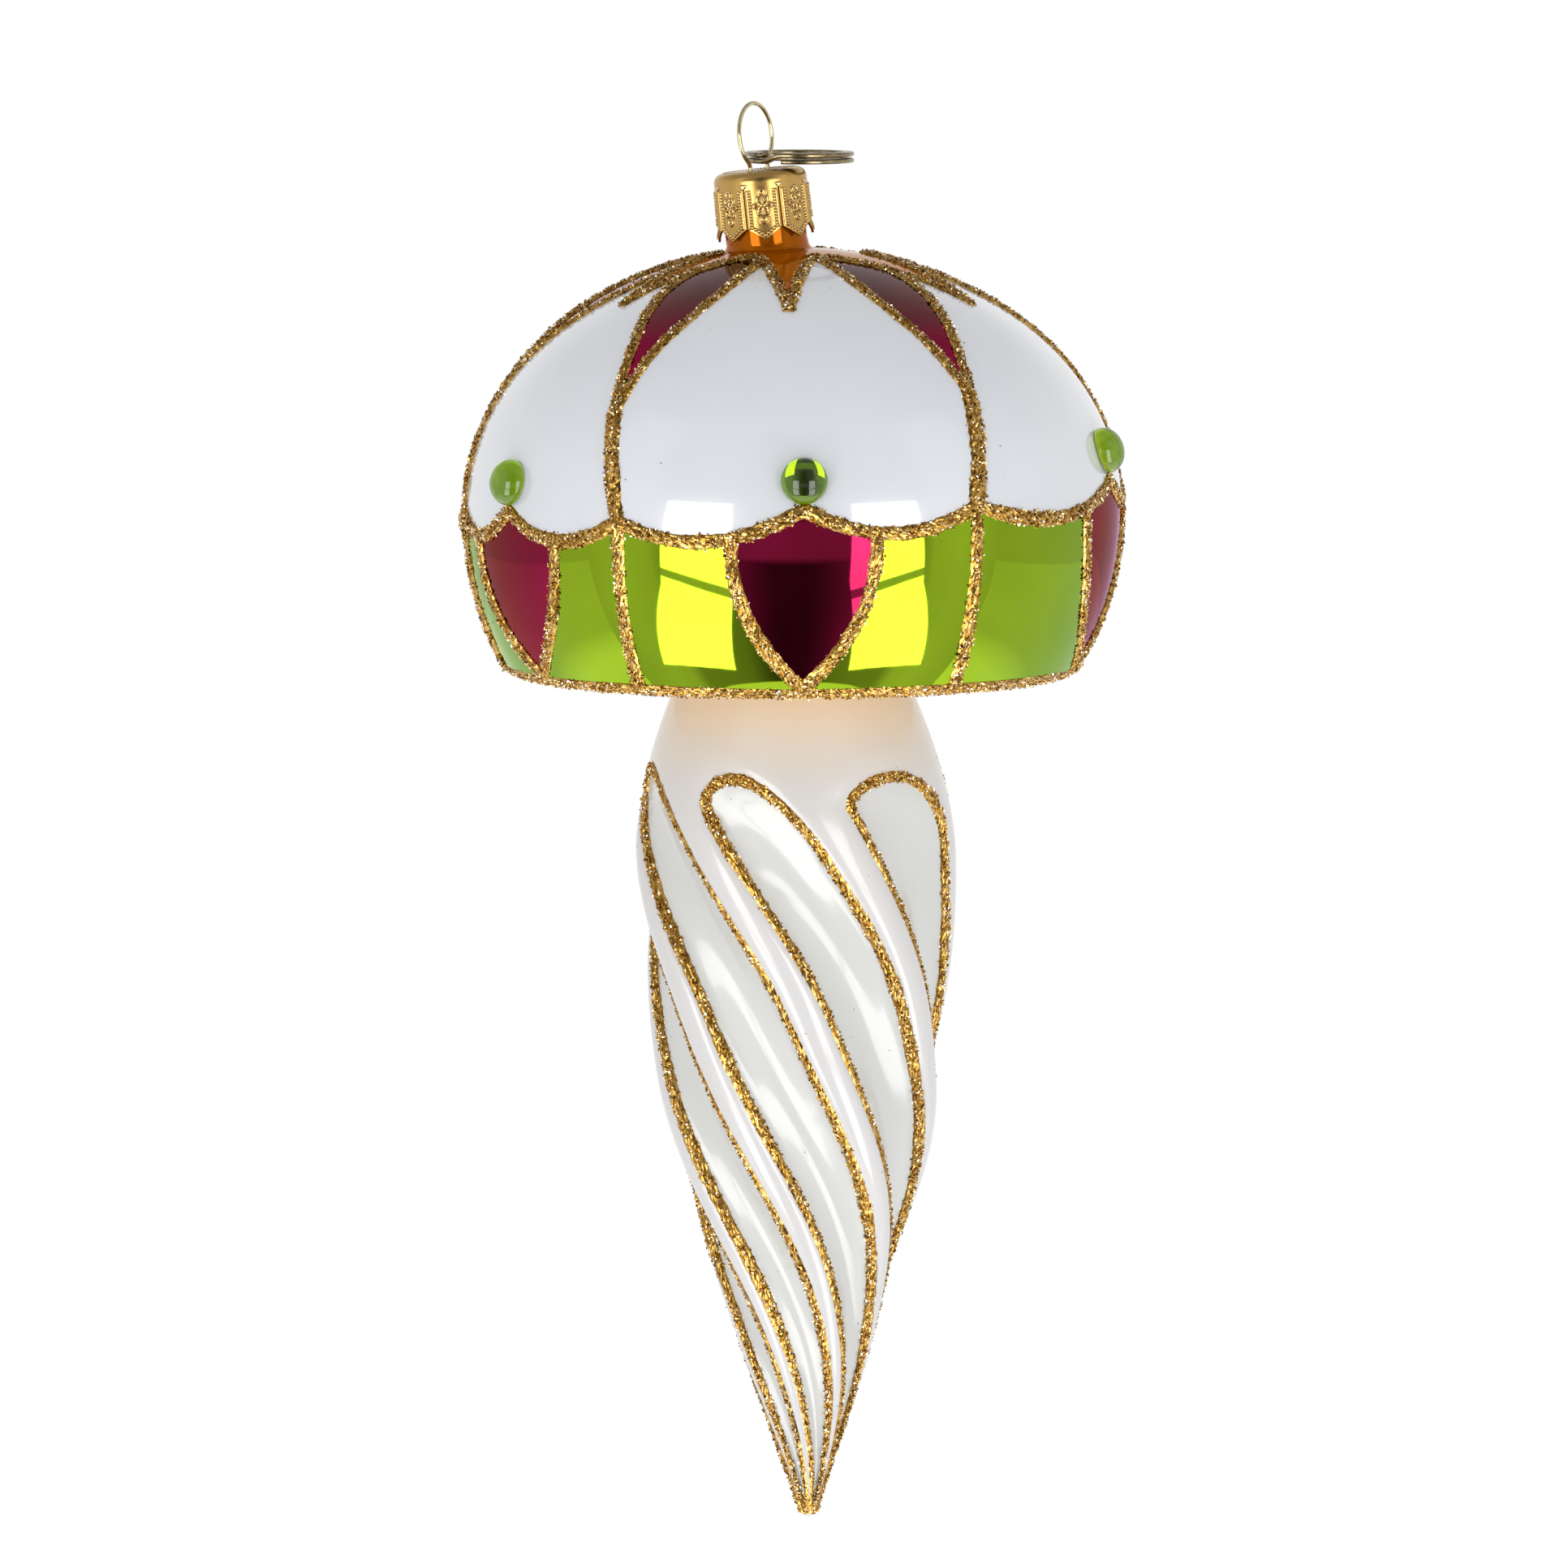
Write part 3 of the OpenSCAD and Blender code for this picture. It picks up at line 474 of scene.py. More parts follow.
def mottled_metal(name, gloss, relief, *shades):
    """Metal whose mottled patina picks the shades; with relief, the crown's relief picks them too: a painted
    shade beside its raised marks and a painted highlight on them.
    """
    paint = Paint(name, Metallic=1.0)
    mottle_and_shade = paint.noise(1.6, 5, 0.62)
    if relief:
        # Painted shade beside the raised marks and painted highlight on them, from the crown's relief
        mottle_and_shade = paint.maths("ADD", paint.grain(), paint.maths("MULTIPLY_ADD", mottle_and_shade, 0.24, -0.12))
    return paint.finish(paint.ramp(mottle_and_shade, *shades), haze=(0.7, 4), gloss=gloss, wave=(0.18, 3),
                        relief=(0.012, 0.5))


lime = mirror_lacquer("lime_lacquer", (0.225, 0.355, 0.0015), (0.185, 0.30, 0.001), (0.50, 0.68, 0.10))
# Wine: half its colour on the band, nearly all of it halfway up the dome, darkening towards the top as a
# painted shade
wine = mirror_lacquer("wine_lacquer", (0.54, 0.006, 0.088), (0.38, 0.002, 0.052), (0.50, 0.16, 0.34),
                      skin=0.55, shade_by_height=((3, 0.50), (18, 0.92), (24.5, 0.40), (31, 0.09)))
amber = mirror_lacquer("amber_lacquer", (0.46, 0.132, 0.0005), (0.37, 0.092, 0.0005), (0.80, 0.45, 0.08),
                       rough=0.08, silvered=0.35, skin=0.3, gloss=0.1)
silver = mirror_lacquer("silvered_glass", (0.80, 0.80, 0.82), (0.72, 0.73, 0.75), (1.0, 1.0, 1.0))
# Crown: its darker and lighter shades fall beside and on the raised marks, a painted shade and highlight
crown_gold = mottled_metal("stamped_crown", (0.18, 0.32), True, (0.12, (0.20, 0.08, 0.010)),
                        (0.44, (0.45, 0.27, 0.076)), (0.60, (0.55, 0.35, 0.115)), (0.90, (0.92, 0.74, 0.40)))
wire_brass = mottled_metal("hanger_wire", (0.10, 0.22), False, (0.3, (0.42, 0.34, 0.18)),
                        (0.68, (0.66, 0.57, 0.35)))
ring_brass = mottled_metal("split_ring", (0.14, 0.34), False, (0.3, (0.075, 0.055, 0.028)),
                        (0.68, (0.34, 0.27, 0.15)))

# Opaque glossy white lacquer with faint clouding and a fine brushed skin
paint = Paint("white_lacquer", Coat_Weight=1.0, Coat_Roughness=0.05)
colour = paint.ramp(paint.noise(18, 2), (0.3, (0.71, 0.73, 0.775)), (0.7, (0.745, 0.765, 0.805)))
white = paint.finish(colour, haze=(2.2, 4, 0.6), gloss=(0.14, 0.30), wave=(6, 1), relief=(0.015, 0.4))

# Pearly white stem: warm cream under the cap, partly its own colour and partly a painted reflection of the
# cream underside, fading into a neutral white with a faint sheen
paint = Paint("pearl_glass", Coat_Weight=0.26, Coat_Roughness=0.05, Sheen_Weight=0.12, Sheen_Roughness=0.4)
down = paint.spread(paint.height(), 0, 1, row_z(SEAT_Z - WARM_TO), row_z(SEAT_Z - WARM_FROM))
wavy = paint.maths("MULTIPLY_ADD", paint.noise(11, 3), 0.25, -0.125)
warm = paint.ramp(paint.maths("ADD", down, wavy), (0.02, (0.715, 0.715, 0.705)), (0.45, (0.76, 0.71, 0.63)),
                  (0.98, (0.88, 0.69, 0.47)))
sunk = paint.ramp(paint.grain(), (0.1, (1.0, 0.98, 0.985)), (0.8, (0.985, 0.995, 0.985)))
colour = paint.vector("MULTIPLY", warm, sunk)
pearl = paint.finish(colour, haze=(2.0, 4, 0.6), gloss=(0.12, 0.28), wave=(7, 1), relief=(0.02, 0.4))

# Plain cream paint of the cap's underside
paint = Paint("cream_underside", Coat_Weight=0.6, Coat_Roughness=0.08)
colour = paint.ramp(paint.noise(9, 4), (0.3, (0.66, 0.53, 0.36)), (0.7, (0.78, 0.66, 0.48)))
cream = paint.finish(colour, haze=(1.5, 4), gloss=(0.22, 0.42), wave=(3, 3), relief=(0.02, 0.4))

# Clear green glass stone over a mirrored back, which the grain attribute marks
paint = Paint("lime_glass", Transmission_Weight=1.0, IOR=1.5, Specular_IOR_Level=0.34)
paint.link(Metallic=paint.grain())
colour = paint.ramp(paint.noise(1.6, 2), (0.3, (0.345, 0.475, 0.012)), (0.7, (0.40, 0.53, 0.018)))
stone = paint.finish(colour, haze=(0.6, 3), gloss=(0.0, 0.02), wave=(2.5, 1), relief=(0.004, 0.3))

# Gold glitter: every grain has its own shade, from bronze through gold to near white
paint = Paint("gold_glitter", Metallic=1.0)
colour = paint.ramp(paint.grain(), (0.0, (0.092, 0.034, 0.004)), (0.30, (0.31, 0.155, 0.023)),
                    (0.62, (0.59, 0.39, 0.12)), (0.86, (0.88, 0.73, 0.45)), (1.0, (0.96, 0.93, 0.84)))
glitter = paint.finish(colour, haze=(0.25, 2), gloss=(0.08, 0.32), wave=(0.12, 2), relief=(0.03, 0.6))


# Painted cap: coats between the gold lines
ROWS, PETAL_COLS, DART_COLS, BAND_COLS, STAR_ROWS, STAR_STEPS, EDGE_POINTS = 44, 49, 17, 33, 20, 16, 60


def border_line(k, a0, a1, count):
    """The border from angle a0 to a1, with a point on the shield's peak if it lies between."""
    peak = SHIELD_AT[k] if a0 < SHIELD_AT[k] < a1 else (a0 + a1) / 2
    a = np.interp(steps(0, 2, count), range(3), [a0, peak, a1])
    return on_cap(a, latitude(border(k, a)))


def on_dome(points, count):
    """Straight strokes between plan points, laid on the dome."""
    return on_cap(*over_plan(resample(points, count)))


def waist(k):
    return polar(STAR_WAIST, WAIST_AT[k])


def star_tip(k):
    return polar(STAR_REACH, STAR_AT[k])


def by_dart(k, x, y):
    """Plan point at y from the axis along the middle of dart k and x beside it."""
    return polar(y, DART_AT[k]) + polar(x, DART_AT[k] + 90)


def crossing(p, q, r, s):
    """Where the plan line through p and q meets the one through r and s."""
    d, e, gap = q - p, s - r, r - p
    return p + d * (gap[0] * e[1] - gap[1] * e[0]) / (d[0] * e[1] - d[1] * e[0])


def dart_corner(k, side):
    """Where a dart's edge meets the arm of the star beside it, seen from above."""
    shoulder, foot = by_dart(k, side * DART_HALF, DART_SHOULDER), by_dart(k, side * DART_FOOT, STAR_WAIST)
    return crossing(shoulder, foot, waist(k), star_tip(k if side > 0 else k - 1))


def dart_edge(k, side):
    """Plan points of a dart's edge from its apex to the star."""
    bulge = [(0, DART_REACH[k])] + DART_BULGE
    points = [by_dart(k, side * share * DART_HALF, y) for share, y in bulge]
    return np.array(points + [dart_corner(k, side)])


def dart_apex(k):
    return np.degrees(np.arccos(DART_REACH[k] / CAP_R))


def petal_edge(k, side):
    """Left (side 1 of line k) or right edge of a petal, from the border up to the star."""
    low = latitude(border(k, PETAL_LINE[k]))
    line = on_cap(steps(PETAL_LINE[k], DART_AT[k], 12), steps(low, dart_apex(k), 12))
    return resample(chain([line[:-1], on_dome(dart_edge(k, side), EDGE_POINTS)]), ROWS)


def sector_coats(k):
    """Petal, dart, shield and the two lime panels of one sector."""
    a0, a1, c, j = PETAL_LINE[k], PETAL_LINE[k + 1], SHIELD_AT[k], (k + 1) % SECTORS
    top = resample(on_dome([dart_corner(k, 1), star_tip(k), dart_corner(j, -1)], 4 * PETAL_COLS), PETAL_COLS)
    petal = coons(border_line(k, a0, a1, PETAL_COLS), top, petal_edge(k, 1), petal_edge(j, -1))
    coat_piece(f"white_petal_{k + 1}", petal, white)
    top = resample(on_dome([dart_corner(k, -1), waist(k), dart_corner(k, 1)], 4 * DART_COLS), DART_COLS)
    left, right = (resample(on_dome(dart_edge(k, s), EDGE_POINTS), ROWS) for s in (-1, 1))
    dart = coons(np.repeat(left[:1], DART_COLS, 0), top, left, right)
    coat_piece(f"wine_dart_{k + 1}", dart, wine)
    left, right = (on_cap(*shield_side(k, s, steps(1, 0, ROWS))) for s in (-1, 1))
    top = border_line(k, c - SHIELD_ANGLE, c + SHIELD_ANGLE, BAND_COLS)
    shield = coons(np.repeat(left[:1], BAND_COLS, 0), top, left, right)
    coat_piece(f"wine_shield_{k + 1}", shield, wine)
    for line, side in ((a0, -1), (a1, 1)):
        edge = on_cap(np.full(ROWS, line), steps(COAT_LOW, latitude(border(k, line)), ROWS))
        low = on_cap(steps(line, c, BAND_COLS), steps(COAT_LOW, latitude(SHIELD_LOW), BAND_COLS))
        if side < 0:
            panel = coons(low, border_line(k, line, c - SHIELD_ANGLE, BAND_COLS), edge, left)
        else:
            panel = coons(low[::-1], border_line(k, c + SHIELD_ANGLE, line, BAND_COLS), right, edge)
        coat_piece(f"lime_panel_{2 * k + (1 if side < 0 else 2)}", panel, lime)


NECK_TUCK, UNDER_TUCK, UNDER_THICK = 0.3, 1.2, 0.7
NECK_FROM, NECK_SKIN, NECK_STEP = 1.3, 0.12, 0.1


def star_coat():
    """Amber star round the neck, out to its straight sides."""
    corners = [point(k) for k in range(SECTORS) for point in (waist, star_tip)]
    outer = chain([[mix(p, q, f) for f in steps(0, 1, STAR_STEPS, endpoint=False)]
                   for p, q in zip(corners, corners[1:] + corners[:1])])
    outer = chain([outer, outer[:1]])
    middle = np.array([NECK_SHIFT, 0])
    inner = middle + unit(outer - middle) * (NECK_R - NECK_TUCK)
    flat = mix(inner[None], outer[None], steps(0, 1, STAR_ROWS)[:, None, None])
    coat_piece("amber_star_coat", on_cap(*over_plan(flat)), amber)


def spun(profile, count):
    """A profile of (r, z) turned round the axis."""
    r, z = np.asarray(profile, float).T[:, :, None]
    return around(r, steps(0, 360, count, endpoint=False), z)


def cap_profile(inset):
    """Half section of the cap from the dome's top to the foot of the rim, moved inwards by inset."""
    t = chain([steps(89.7, 0, 60), steps(-1, RIM_LAT, 20)])
    b = steps(RIM_LAT, -90, 16)[1:]
    bend = RIM_ROUND - inset
    return chain([columns((CAP_R - inset) * cos(t), (dome_axis(t) - inset) * sin(t)),
                  columns(RIM_R + bend * cos(b), RIM_Z + bend * sin(b))])


def cap_glass():
    """Blown cap: dome, band and rounded rim with its wall, and the neck that stands on it."""
    grid = spun(chain([cap_profile(0), cap_profile(CAP_WALL)[::-1]]), 160)
    verts, faces = grid.reshape(-1, 3), grid_faces(*grid.shape[:2], wrap=True)[:, ::-1]
    tube = [(NECK_R, NECK_ROOT), (NECK_R, NECK_TOP), (BORE_R, NECK_TOP), (BORE_R, NECK_ROOT)]
    neck = on_neck(spun(tube + tube[:1], 64))
    faces = chain([faces, grid_faces(*neck.shape[:2], start=len(verts), wrap=True)])
    make_piece("cap_shell", chain([verts, neck.reshape(-1, 3)]), faces, silver, "glass",
               ["cap_shell"])


def cap_underside():
    """Painted underside, rising a little from the rim to the stem."""
    r = steps(RIM_R + UNDER_TUCK, MOUTH_R, 24)
    rise = smooth((RIM_R - r) / (RIM_R - COLLAR_R))
    under = columns(r, mix(-RIM_DROP, SEAT_Z, rise))
    grid = spun(chain([under, under[::-1] + [0, UNDER_THICK], under[:1]]), 120)
    round_piece("cap_underside", grid, cream, [], turn=-1)


def neck_coat():
    """Amber lacquer on the neck, flowing out onto the dome in a small fillet."""
    r = NECK_R + COAT_TOP
    a = steps(0, 360, 96, endpoint=False)
    rows = []
    for turn in steps(0, 90, 9):
        plan = polar(r + NECK_FILLET * (1 - sin(turn)), a) + [NECK_SHIFT, 0]
        rows.append(on_cap(*over_plan(plan), COAT_TOP) + [0, 0, NECK_FILLET * (1 - cos(turn))])
    rows += [on_neck(around(r, a, z)) for z in steps(NECK_FROM, NECK_TOP, 14)]
    rows += [on_neck(around(r - NECK_SKIN, a, z)) for z in (NECK_TOP, 0.0)]
    rows += [rows[0] - [0, 0, NECK_STEP], rows[0]]
    round_piece("amber_neck_coat", np.stack(rows), amber, ["amber_neck_coat"])


def gems():
    """Domed stones with a flat, slightly undercut back, one over each shield."""
    count, edge = 56, 0.02
    b = steps(90, -GEM_UNDERCUT, 26)
    profile = columns(GEM_D / 2 * cos(b), GEM_RISE + (GEM_H - GEM_RISE) * sin(b))
    profile[b < 0, 1] = GEM_RISE + GEM_RISE * sin(b[b < 0]) / sin(GEM_UNDERCUT)
    profile = chain([profile, [[profile[-1, 0] - edge, 0], [edge, 0]]])
    shape = spun(profile, count)
    back = np.repeat(np.arange(len(profile)) >= len(profile) - 2, count).astype(float)
    for k, a in enumerate(SHIELD_AT):
        t = latitude(GEM_UP + TILT_RISE * sin(a))
        n = cap_normal(a, t)
        e1 = np.array([cos(a), sin(a), 0.0])
        e2 = np.cross(n, e1)
        grid = on_cap(a, t, COAT_TOP) + shape[..., :1] * e1 + shape[..., 1:2] * e2 + shape[..., 2:] * n
        name = f"cabochon_{k + 1}"
        round_piece(name, grid, stone, [name], turn=-1, grain=back)


def stem_glass():
    """Twisted stem: ridges grow out of a smooth bell and turn round the axis, with sunk panels between."""
    per, rings, tip_drop = 40, 320, 0.25
    m = RIDGES * per
    u = steps(0, STEM_LEN, rings)[:, None, None]
    f = steps(-0.5, 0.5, per, endpoint=False)[None, None, :]
    grid = on_stem(np.arange(RIDGES)[None, :, None], f, u).reshape(rings, m, 3)
    verts = chain([grid.reshape(-1, 3), [grid[-1].mean(0) - [0, 0, tip_drop]]])
    sunk = np.append(panel_share(f, u + 0 * f).repeat(RIDGES, 1).ravel(), 0)
    last = (rings - 1) * m + np.arange(m)
    fan = columns(last, np.roll(last, -1), np.full(m, len(verts) - 1))
    top = np.arange(m)[None, ::-1]
    faces = [quads[:, ::-1] for quads in (grid_faces(rings, m, wrap=True), fan, top)]
    make_piece("stem_shell", verts, faces, pearl, "glass", ["stem_shell"], grain=sunk)


for sector in range(SECTORS):
    sector_coats(sector)
star_coat()
cap_glass()
cap_underside()
neck_coat()
gems()
stem_glass()


# Gold glitter lines: a bumpy bead under a crust of loose grains
DENSITY = 7.5
GLITTER_H, BEAD_POINTS, BEAD_SINK, RAGGED, LINE_STEP = 0.5, 9, 0.05, 0.22, 0.42
GRAIN_SIZE, GRAIN_FLAT, CRUST_H, CRUST_REACH, CRUST_END = (0.13, 0.25), 0.42, 0.82, 1.06, 1.35
# Loose specks between the lines
SPECK_SIZE, CAP_SPECKS, SPECK_DRIFT, STEM_SPECKS, STEM_SPECK_DROPS = (0.06, 0.13), 90, 3.2, 14, (12, 94)
RIM_W, BAND_W, PETAL_W, DART_W, RIM_ROWS = 1.0, 1.75, 2.2, 1.5, (-47, -61, -75)
# A stem line's width grows from the tip with the stem's radius up to a limit
STEM_W, STEM_W_GROW, STEM_W_TIP = 1.5, 0.11, 0.27


def frames(points, normals, closed):
    """Directions across a line."""
    ahead = np.roll(points, -1, 0) - np.roll(points, 1, 0)
    if not closed:
        ahead[0], ahead[-1] = points[1] - points[0], points[-1] - points[-2]
    return unit(np.cross(normals, ahead))


def bead(points, normals, width, closed):
    """The bead's own body, with ragged edges and an uneven back."""
    n, m = len(points), BEAD_POINTS
    across = steps(-1, 1, m)
    side = frames(points, normals, closed)
    ragged = 1 + RAGGED * (rng.random((n, 2)) - 0.5)
    reach = np.where(across < 0, ragged[:, :1], ragged[:, 1:]) * across * width[:, None] / 2
    lift = GLITTER_H * (0.55 + 0.4 * rng.random((n, m))) * np.sqrt(1 - across ** 2) - BEAD_SINK
    verts = points[:, None] + reach[..., None] * side[:, None] + lift[..., None] * normals[:, None]
    verts = verts.reshape(-1, 3)
    if closed:
        verts = chain([verts, verts[:m]])
        n += 1
    ends = [] if closed else [np.stack([np.arange(m), (n - 1) * m + np.arange(m)[::-1]])]
    return verts, [grid_faces(n, m, wrap=True)[:, ::-1]] + ends


def grains(at, normals, size, tilt):
    """Loose grains: small flattened octahedra, each with its own lean and outline."""
    n = len(at)
    axis = unit(normals + tilt * rng.normal(size=(n, 3)))
    e1 = unit(np.cross(axis, rng.normal(size=(n, 3))))
    e2 = np.cross(axis, e1)
    verts = np.empty((n, 6, 3))
    for corner in range(4):
        turn = 90 * corner + rng.uniform(-25, 25, n)[:, None]
        reach = (size * rng.uniform(0.72, 1.25, n))[:, None]
        verts[:, corner] = at + reach * (cos(turn) * e1 + sin(turn) * e2)
    verts[:, 4] = at + axis * (GRAIN_FLAT * size)[:, None]
    verts[:, 5] = at - axis * (GRAIN_FLAT * size)[:, None]
    pattern = np.array([(c, (c + 1) % 4, 4) for c in range(4)] + [((c + 1) % 4, c, 5) for c in range(4)])
    faces = (6 * np.arange(n)[:, None, None] + pattern[None]).reshape(-1, 3)
    return verts.reshape(-1, 3), [faces]


def crust(points, normals, width, closed):
    """Grains strewn over a line, thinning out past its edges."""
    if closed:
        points, normals, width = (chain([x, x[:1]]) for x in (points, normals, width))
    s = distance(points)
    n = max(4, int(DENSITY * s[-1] * width.mean()))
    where = rng.uniform(0, s[-1], n)
    side, up = along(frames(points, normals, False), s, where), along(normals, s, where)
    q = rng.uniform(-1, 1, n) * CRUST_REACH + rng.normal(scale=0.06, size=n)
    q = np.clip(q, -CRUST_END, CRUST_END)
    lift = GLITTER_H * CRUST_H * np.sqrt(np.clip(1 - q * q, 0, 1)) + rng.uniform(-0.02, 0.09, n)
    reach = q * np.interp(where, s, width) / 2
    at = along(points, s, where) + side * reach[:, None] + up * lift[:, None]
    return grains(at, up, rng.uniform(*GRAIN_SIZE, n), 1.0)


def glitter_piece(name, lines, stray=None):
    """One glitter piece from several lines of (points, normals, width, closed)."""
    parts = []
    for line in lines:
        verts, faces = bead(*line)
        parts.append((verts, faces, rng.uniform(0.15, 0.65, len(verts))))
        verts, faces = crust(*line)
        parts.append((verts, faces, np.repeat(rng.beta(1.2, 1.15, len(verts) // 6), 6)))
    if stray is not None:
        verts, faces = grains(*stray, rng.uniform(*SPECK_SIZE, len(stray[0])), 0.5)
        parts.append((verts, faces, np.repeat(rng.uniform(0, 0.3, len(verts) // 6), 6)))
    start, kinds = 0, {4: [], 3: [], BEAD_POINTS: []}
    for verts, faces, shade in parts:
        for f in faces:
            kinds[f.shape[1]].append(f + start)
        start += len(verts)
    verts, faces, shade = zip(*parts)
    make_piece(name, chain(verts), [chain(f) for f in kinds.values() if f], glitter, "glass",
               [name], flat=True, grain=chain(shade))


def uneven(n, knots, low, high):
    """Shares of a width that drift slowly along n points."""
    return np.interp(np.arange(n), steps(0, n, knots), rng.uniform(low, high, knots))


def on_lines(points, width, closed=False):
    """A cap line from points near the surface: evenly spaced, with normals and uneven width."""
    line = resample(points, max(4, int(distance(points)[-1] / LINE_STEP)))
    line = line[:-1] if closed else line
    a, t = cap_place(line)
    n = len(line)
    return on_cap(a, t, COAT_TOP), cap_normal(a, t), width * uneven(n, n // 9 + 3, 0.88, 1.12), closed


def cap_lines():
    a = steps(0, 360, 560, endpoint=False)
    glitter_piece("gold_rim", [(around(RIM_R + RIM_ROUND * cos(b), a, RIM_Z + RIM_ROUND * sin(b)),
                                around(cos(b), a, sin(b)), np.full(len(a), RIM_W), True) for b in RIM_ROWS])
    whole = chain([border_line(k, PETAL_LINE[k], PETAL_LINE[k + 1], 81)[:-1] for k in range(SECTORS)])
    glitter_piece("gold_swag_border", [on_lines(chain([whole, whole[:1]]), BAND_W, True)])
    petals, darts, star, shields = [], [], [], []
    for k in range(SECTORS):
        a, join, apex = PETAL_LINE[k], latitude(border(k, PETAL_LINE[k])), dart_apex(k) + 2
        for end, low, high, width in ((a, COAT_LOW - 1, join, BAND_W), (DART_AT[k], join, apex, PETAL_W)):
            line = on_cap(steps(a, end, 20), steps(low, high, 20))
            petals.append(on_lines(resample(line, 40), width))
        for side in (-1, 1):
            darts.append(on_lines(on_dome(dart_edge(k, side), 80), DART_W))
        for near in (k - 1, k):
            star.append(on_lines(on_dome([waist(k), star_tip(near)], 50), DART_W))
        for side in (-1, 1):
            shields.append(on_lines(on_cap(*shield_side(k, side, steps(0, 1, 60))), BAND_W))
    drift = chain([line[0] for line in petals + darts])
    drift = drift[rng.integers(0, len(drift), CAP_SPECKS)]
    place = cap_place(drift + rng.normal(scale=SPECK_DRIFT, size=drift.shape))
    glitter_piece("gold_petal_lines", petals, (on_cap(*place, COAT_TOP + LOOSE_UP), cap_normal(*place)))
    glitter_piece("gold_dart_lines", darts)
    glitter_piece("gold_star_line", star)
    glitter_piece("gold_shield_lines", shields)


def stem_lines():
    """Outline of each panel: up one side, over its arch, down the other, running together at the tip."""
    turn, count = steps(0, 180, 80), 220
    over = -LINE_PHASE * cos(turn)
    drop = ARCH_DROP + arch(over) * (1 - sin(turn))
    f = chain([np.full(count, -LINE_PHASE), over[1:-1], np.full(count, LINE_PHASE)])
    u = chain([steps(LINE_END, drop[0], count), drop[1:-1], steps(drop[-1], LINE_END, count)])
    n = len(f)
    for i in range(RIDGES):
        slow = uneven(n, n // 10, 0.85, 1.15)
        width = np.minimum(STEM_W, STEM_W_GROW * stem_crest(u) + STEM_W_TIP) * slow
        where = rng.uniform(-0.5, 0.5, STEM_SPECKS), rng.uniform(*STEM_SPECK_DROPS, STEM_SPECKS)
        glitter_piece(f"gold_stem_line_{i + 1}", [(on_stem(i, f, u), stem_normal(i, f, u), width, False)],
                      (on_stem(i, *where, LOOSE_UP), stem_normal(i, *where)))


cap_lines()
stem_lines()


# Stamped crown
HALF = np.pi * CROWN_R / POINTS
SHOULDER_Z = CROWN_TOP - CROWN_SHOULDER
HOLE_R, KNURLS, KNURL_H, KNURL_R, MOST_FLARE = 0.52, 36, 0.10, 4.35, 0.28
# Relief of a petal: how high it stands, its beaded edges, the rings, the rosette and its dots
RELIEF, MARK_H, EDGE_X, EDGE_TOP, EDGE_LOW, EDGE_POINT = 1.35, 0.15, 1.55, 7.55, 3.2, 2.15
RINGS_Z, RING_MARK_R, DOTS_Z, DOT_R, ROSETTE_Z = (7.35, 4.05), 0.38, (5.75, 6.72, 4.78), 0.13, 5.75
LEAF_TURNS, LEAF_OUT, LEAF_LONG, LEAF_WIDE = range(30, 390, 60), 0.70, 0.46, 0.25


def ridge(d, width):
    return np.exp(-(d / width) ** 2)


def dome(d, size):
    return np.sqrt(np.clip(1 - (d / size) ** 2, 0, 1))


def bead_row(x, z, p, q, pitch, size):
    """Round beads at even places from p to q."""
    p, q = np.array(p), np.array(q)
    length = np.linalg.norm(q - p)
    along, gap = (q - p) / length, length / round(length / pitch)
    s = (x - p[0]) * along[0] + (z - p[1]) * along[1]
    off = (x - p[0]) * along[1] - (z - p[1]) * along[0]
    near = np.clip(np.round(s / gap), 0, round(length / gap)) * gap
    return dome(np.hypot(s - near, off), size)


def emboss(x, z):
    """Stamped relief of one crown petal: beaded edges, a rosette with dots, a ring over and under it."""
    w = np.abs(x)
    edge_line = ridge(w - 1.86, 0.085) * smooth((7.75 - z) / 0.2) * smooth((z - 2.9) / 0.3)
    wedge = smooth((0.72 * (z - 7.7) - (HALF - w)) / 0.08)
    wedge = wedge * smooth((z - 7.75) / 0.1) * smooth((8.45 - z) / 0.1)
    marks = [MARK_H * bead_row(w, z, (EDGE_X, EDGE_TOP), (EDGE_X, EDGE_LOW), 0.37, 0.17),
             MARK_H * bead_row(w, z, (EDGE_X, EDGE_LOW), (0.0, EDGE_POINT), 0.42, 0.19),
             0.11 * edge_line, 0.13 * wedge]
    for middle in RINGS_Z:
        d = np.hypot(x, z - middle)
        marks += [MARK_H * ridge(d - RING_MARK_R, 0.10), 0.08 * dome(d, 0.26)]
    for turn in LEAF_TURNS:
        along = x * sin(turn) + (z - ROSETTE_Z) * cos(turn) - LEAF_OUT
        off = x * cos(turn) - (z - ROSETTE_Z) * sin(turn)
        marks.append(MARK_H * ridge(np.hypot(along / LEAF_LONG, off / LEAF_WIDE) - 1, 0.32))
    marks += [0.13 * dome(np.hypot(x, z - middle), DOT_R) for middle in DOTS_Z]
    return RELIEF * np.max(marks, 0)


def relief_shade(high):
    """Half grey on plain sheet, darker beside raised marks and lighter on them: a painted shade and a
    painted highlight that bring out the relief.
    """
    blur = high
    for axis in (0, 1):
        blur = sum(np.roll(blur, k, axis) for k in range(-4, 5)) / 9
    return np.clip(0.5 + 2.6 * (high - blur), 0, 1)


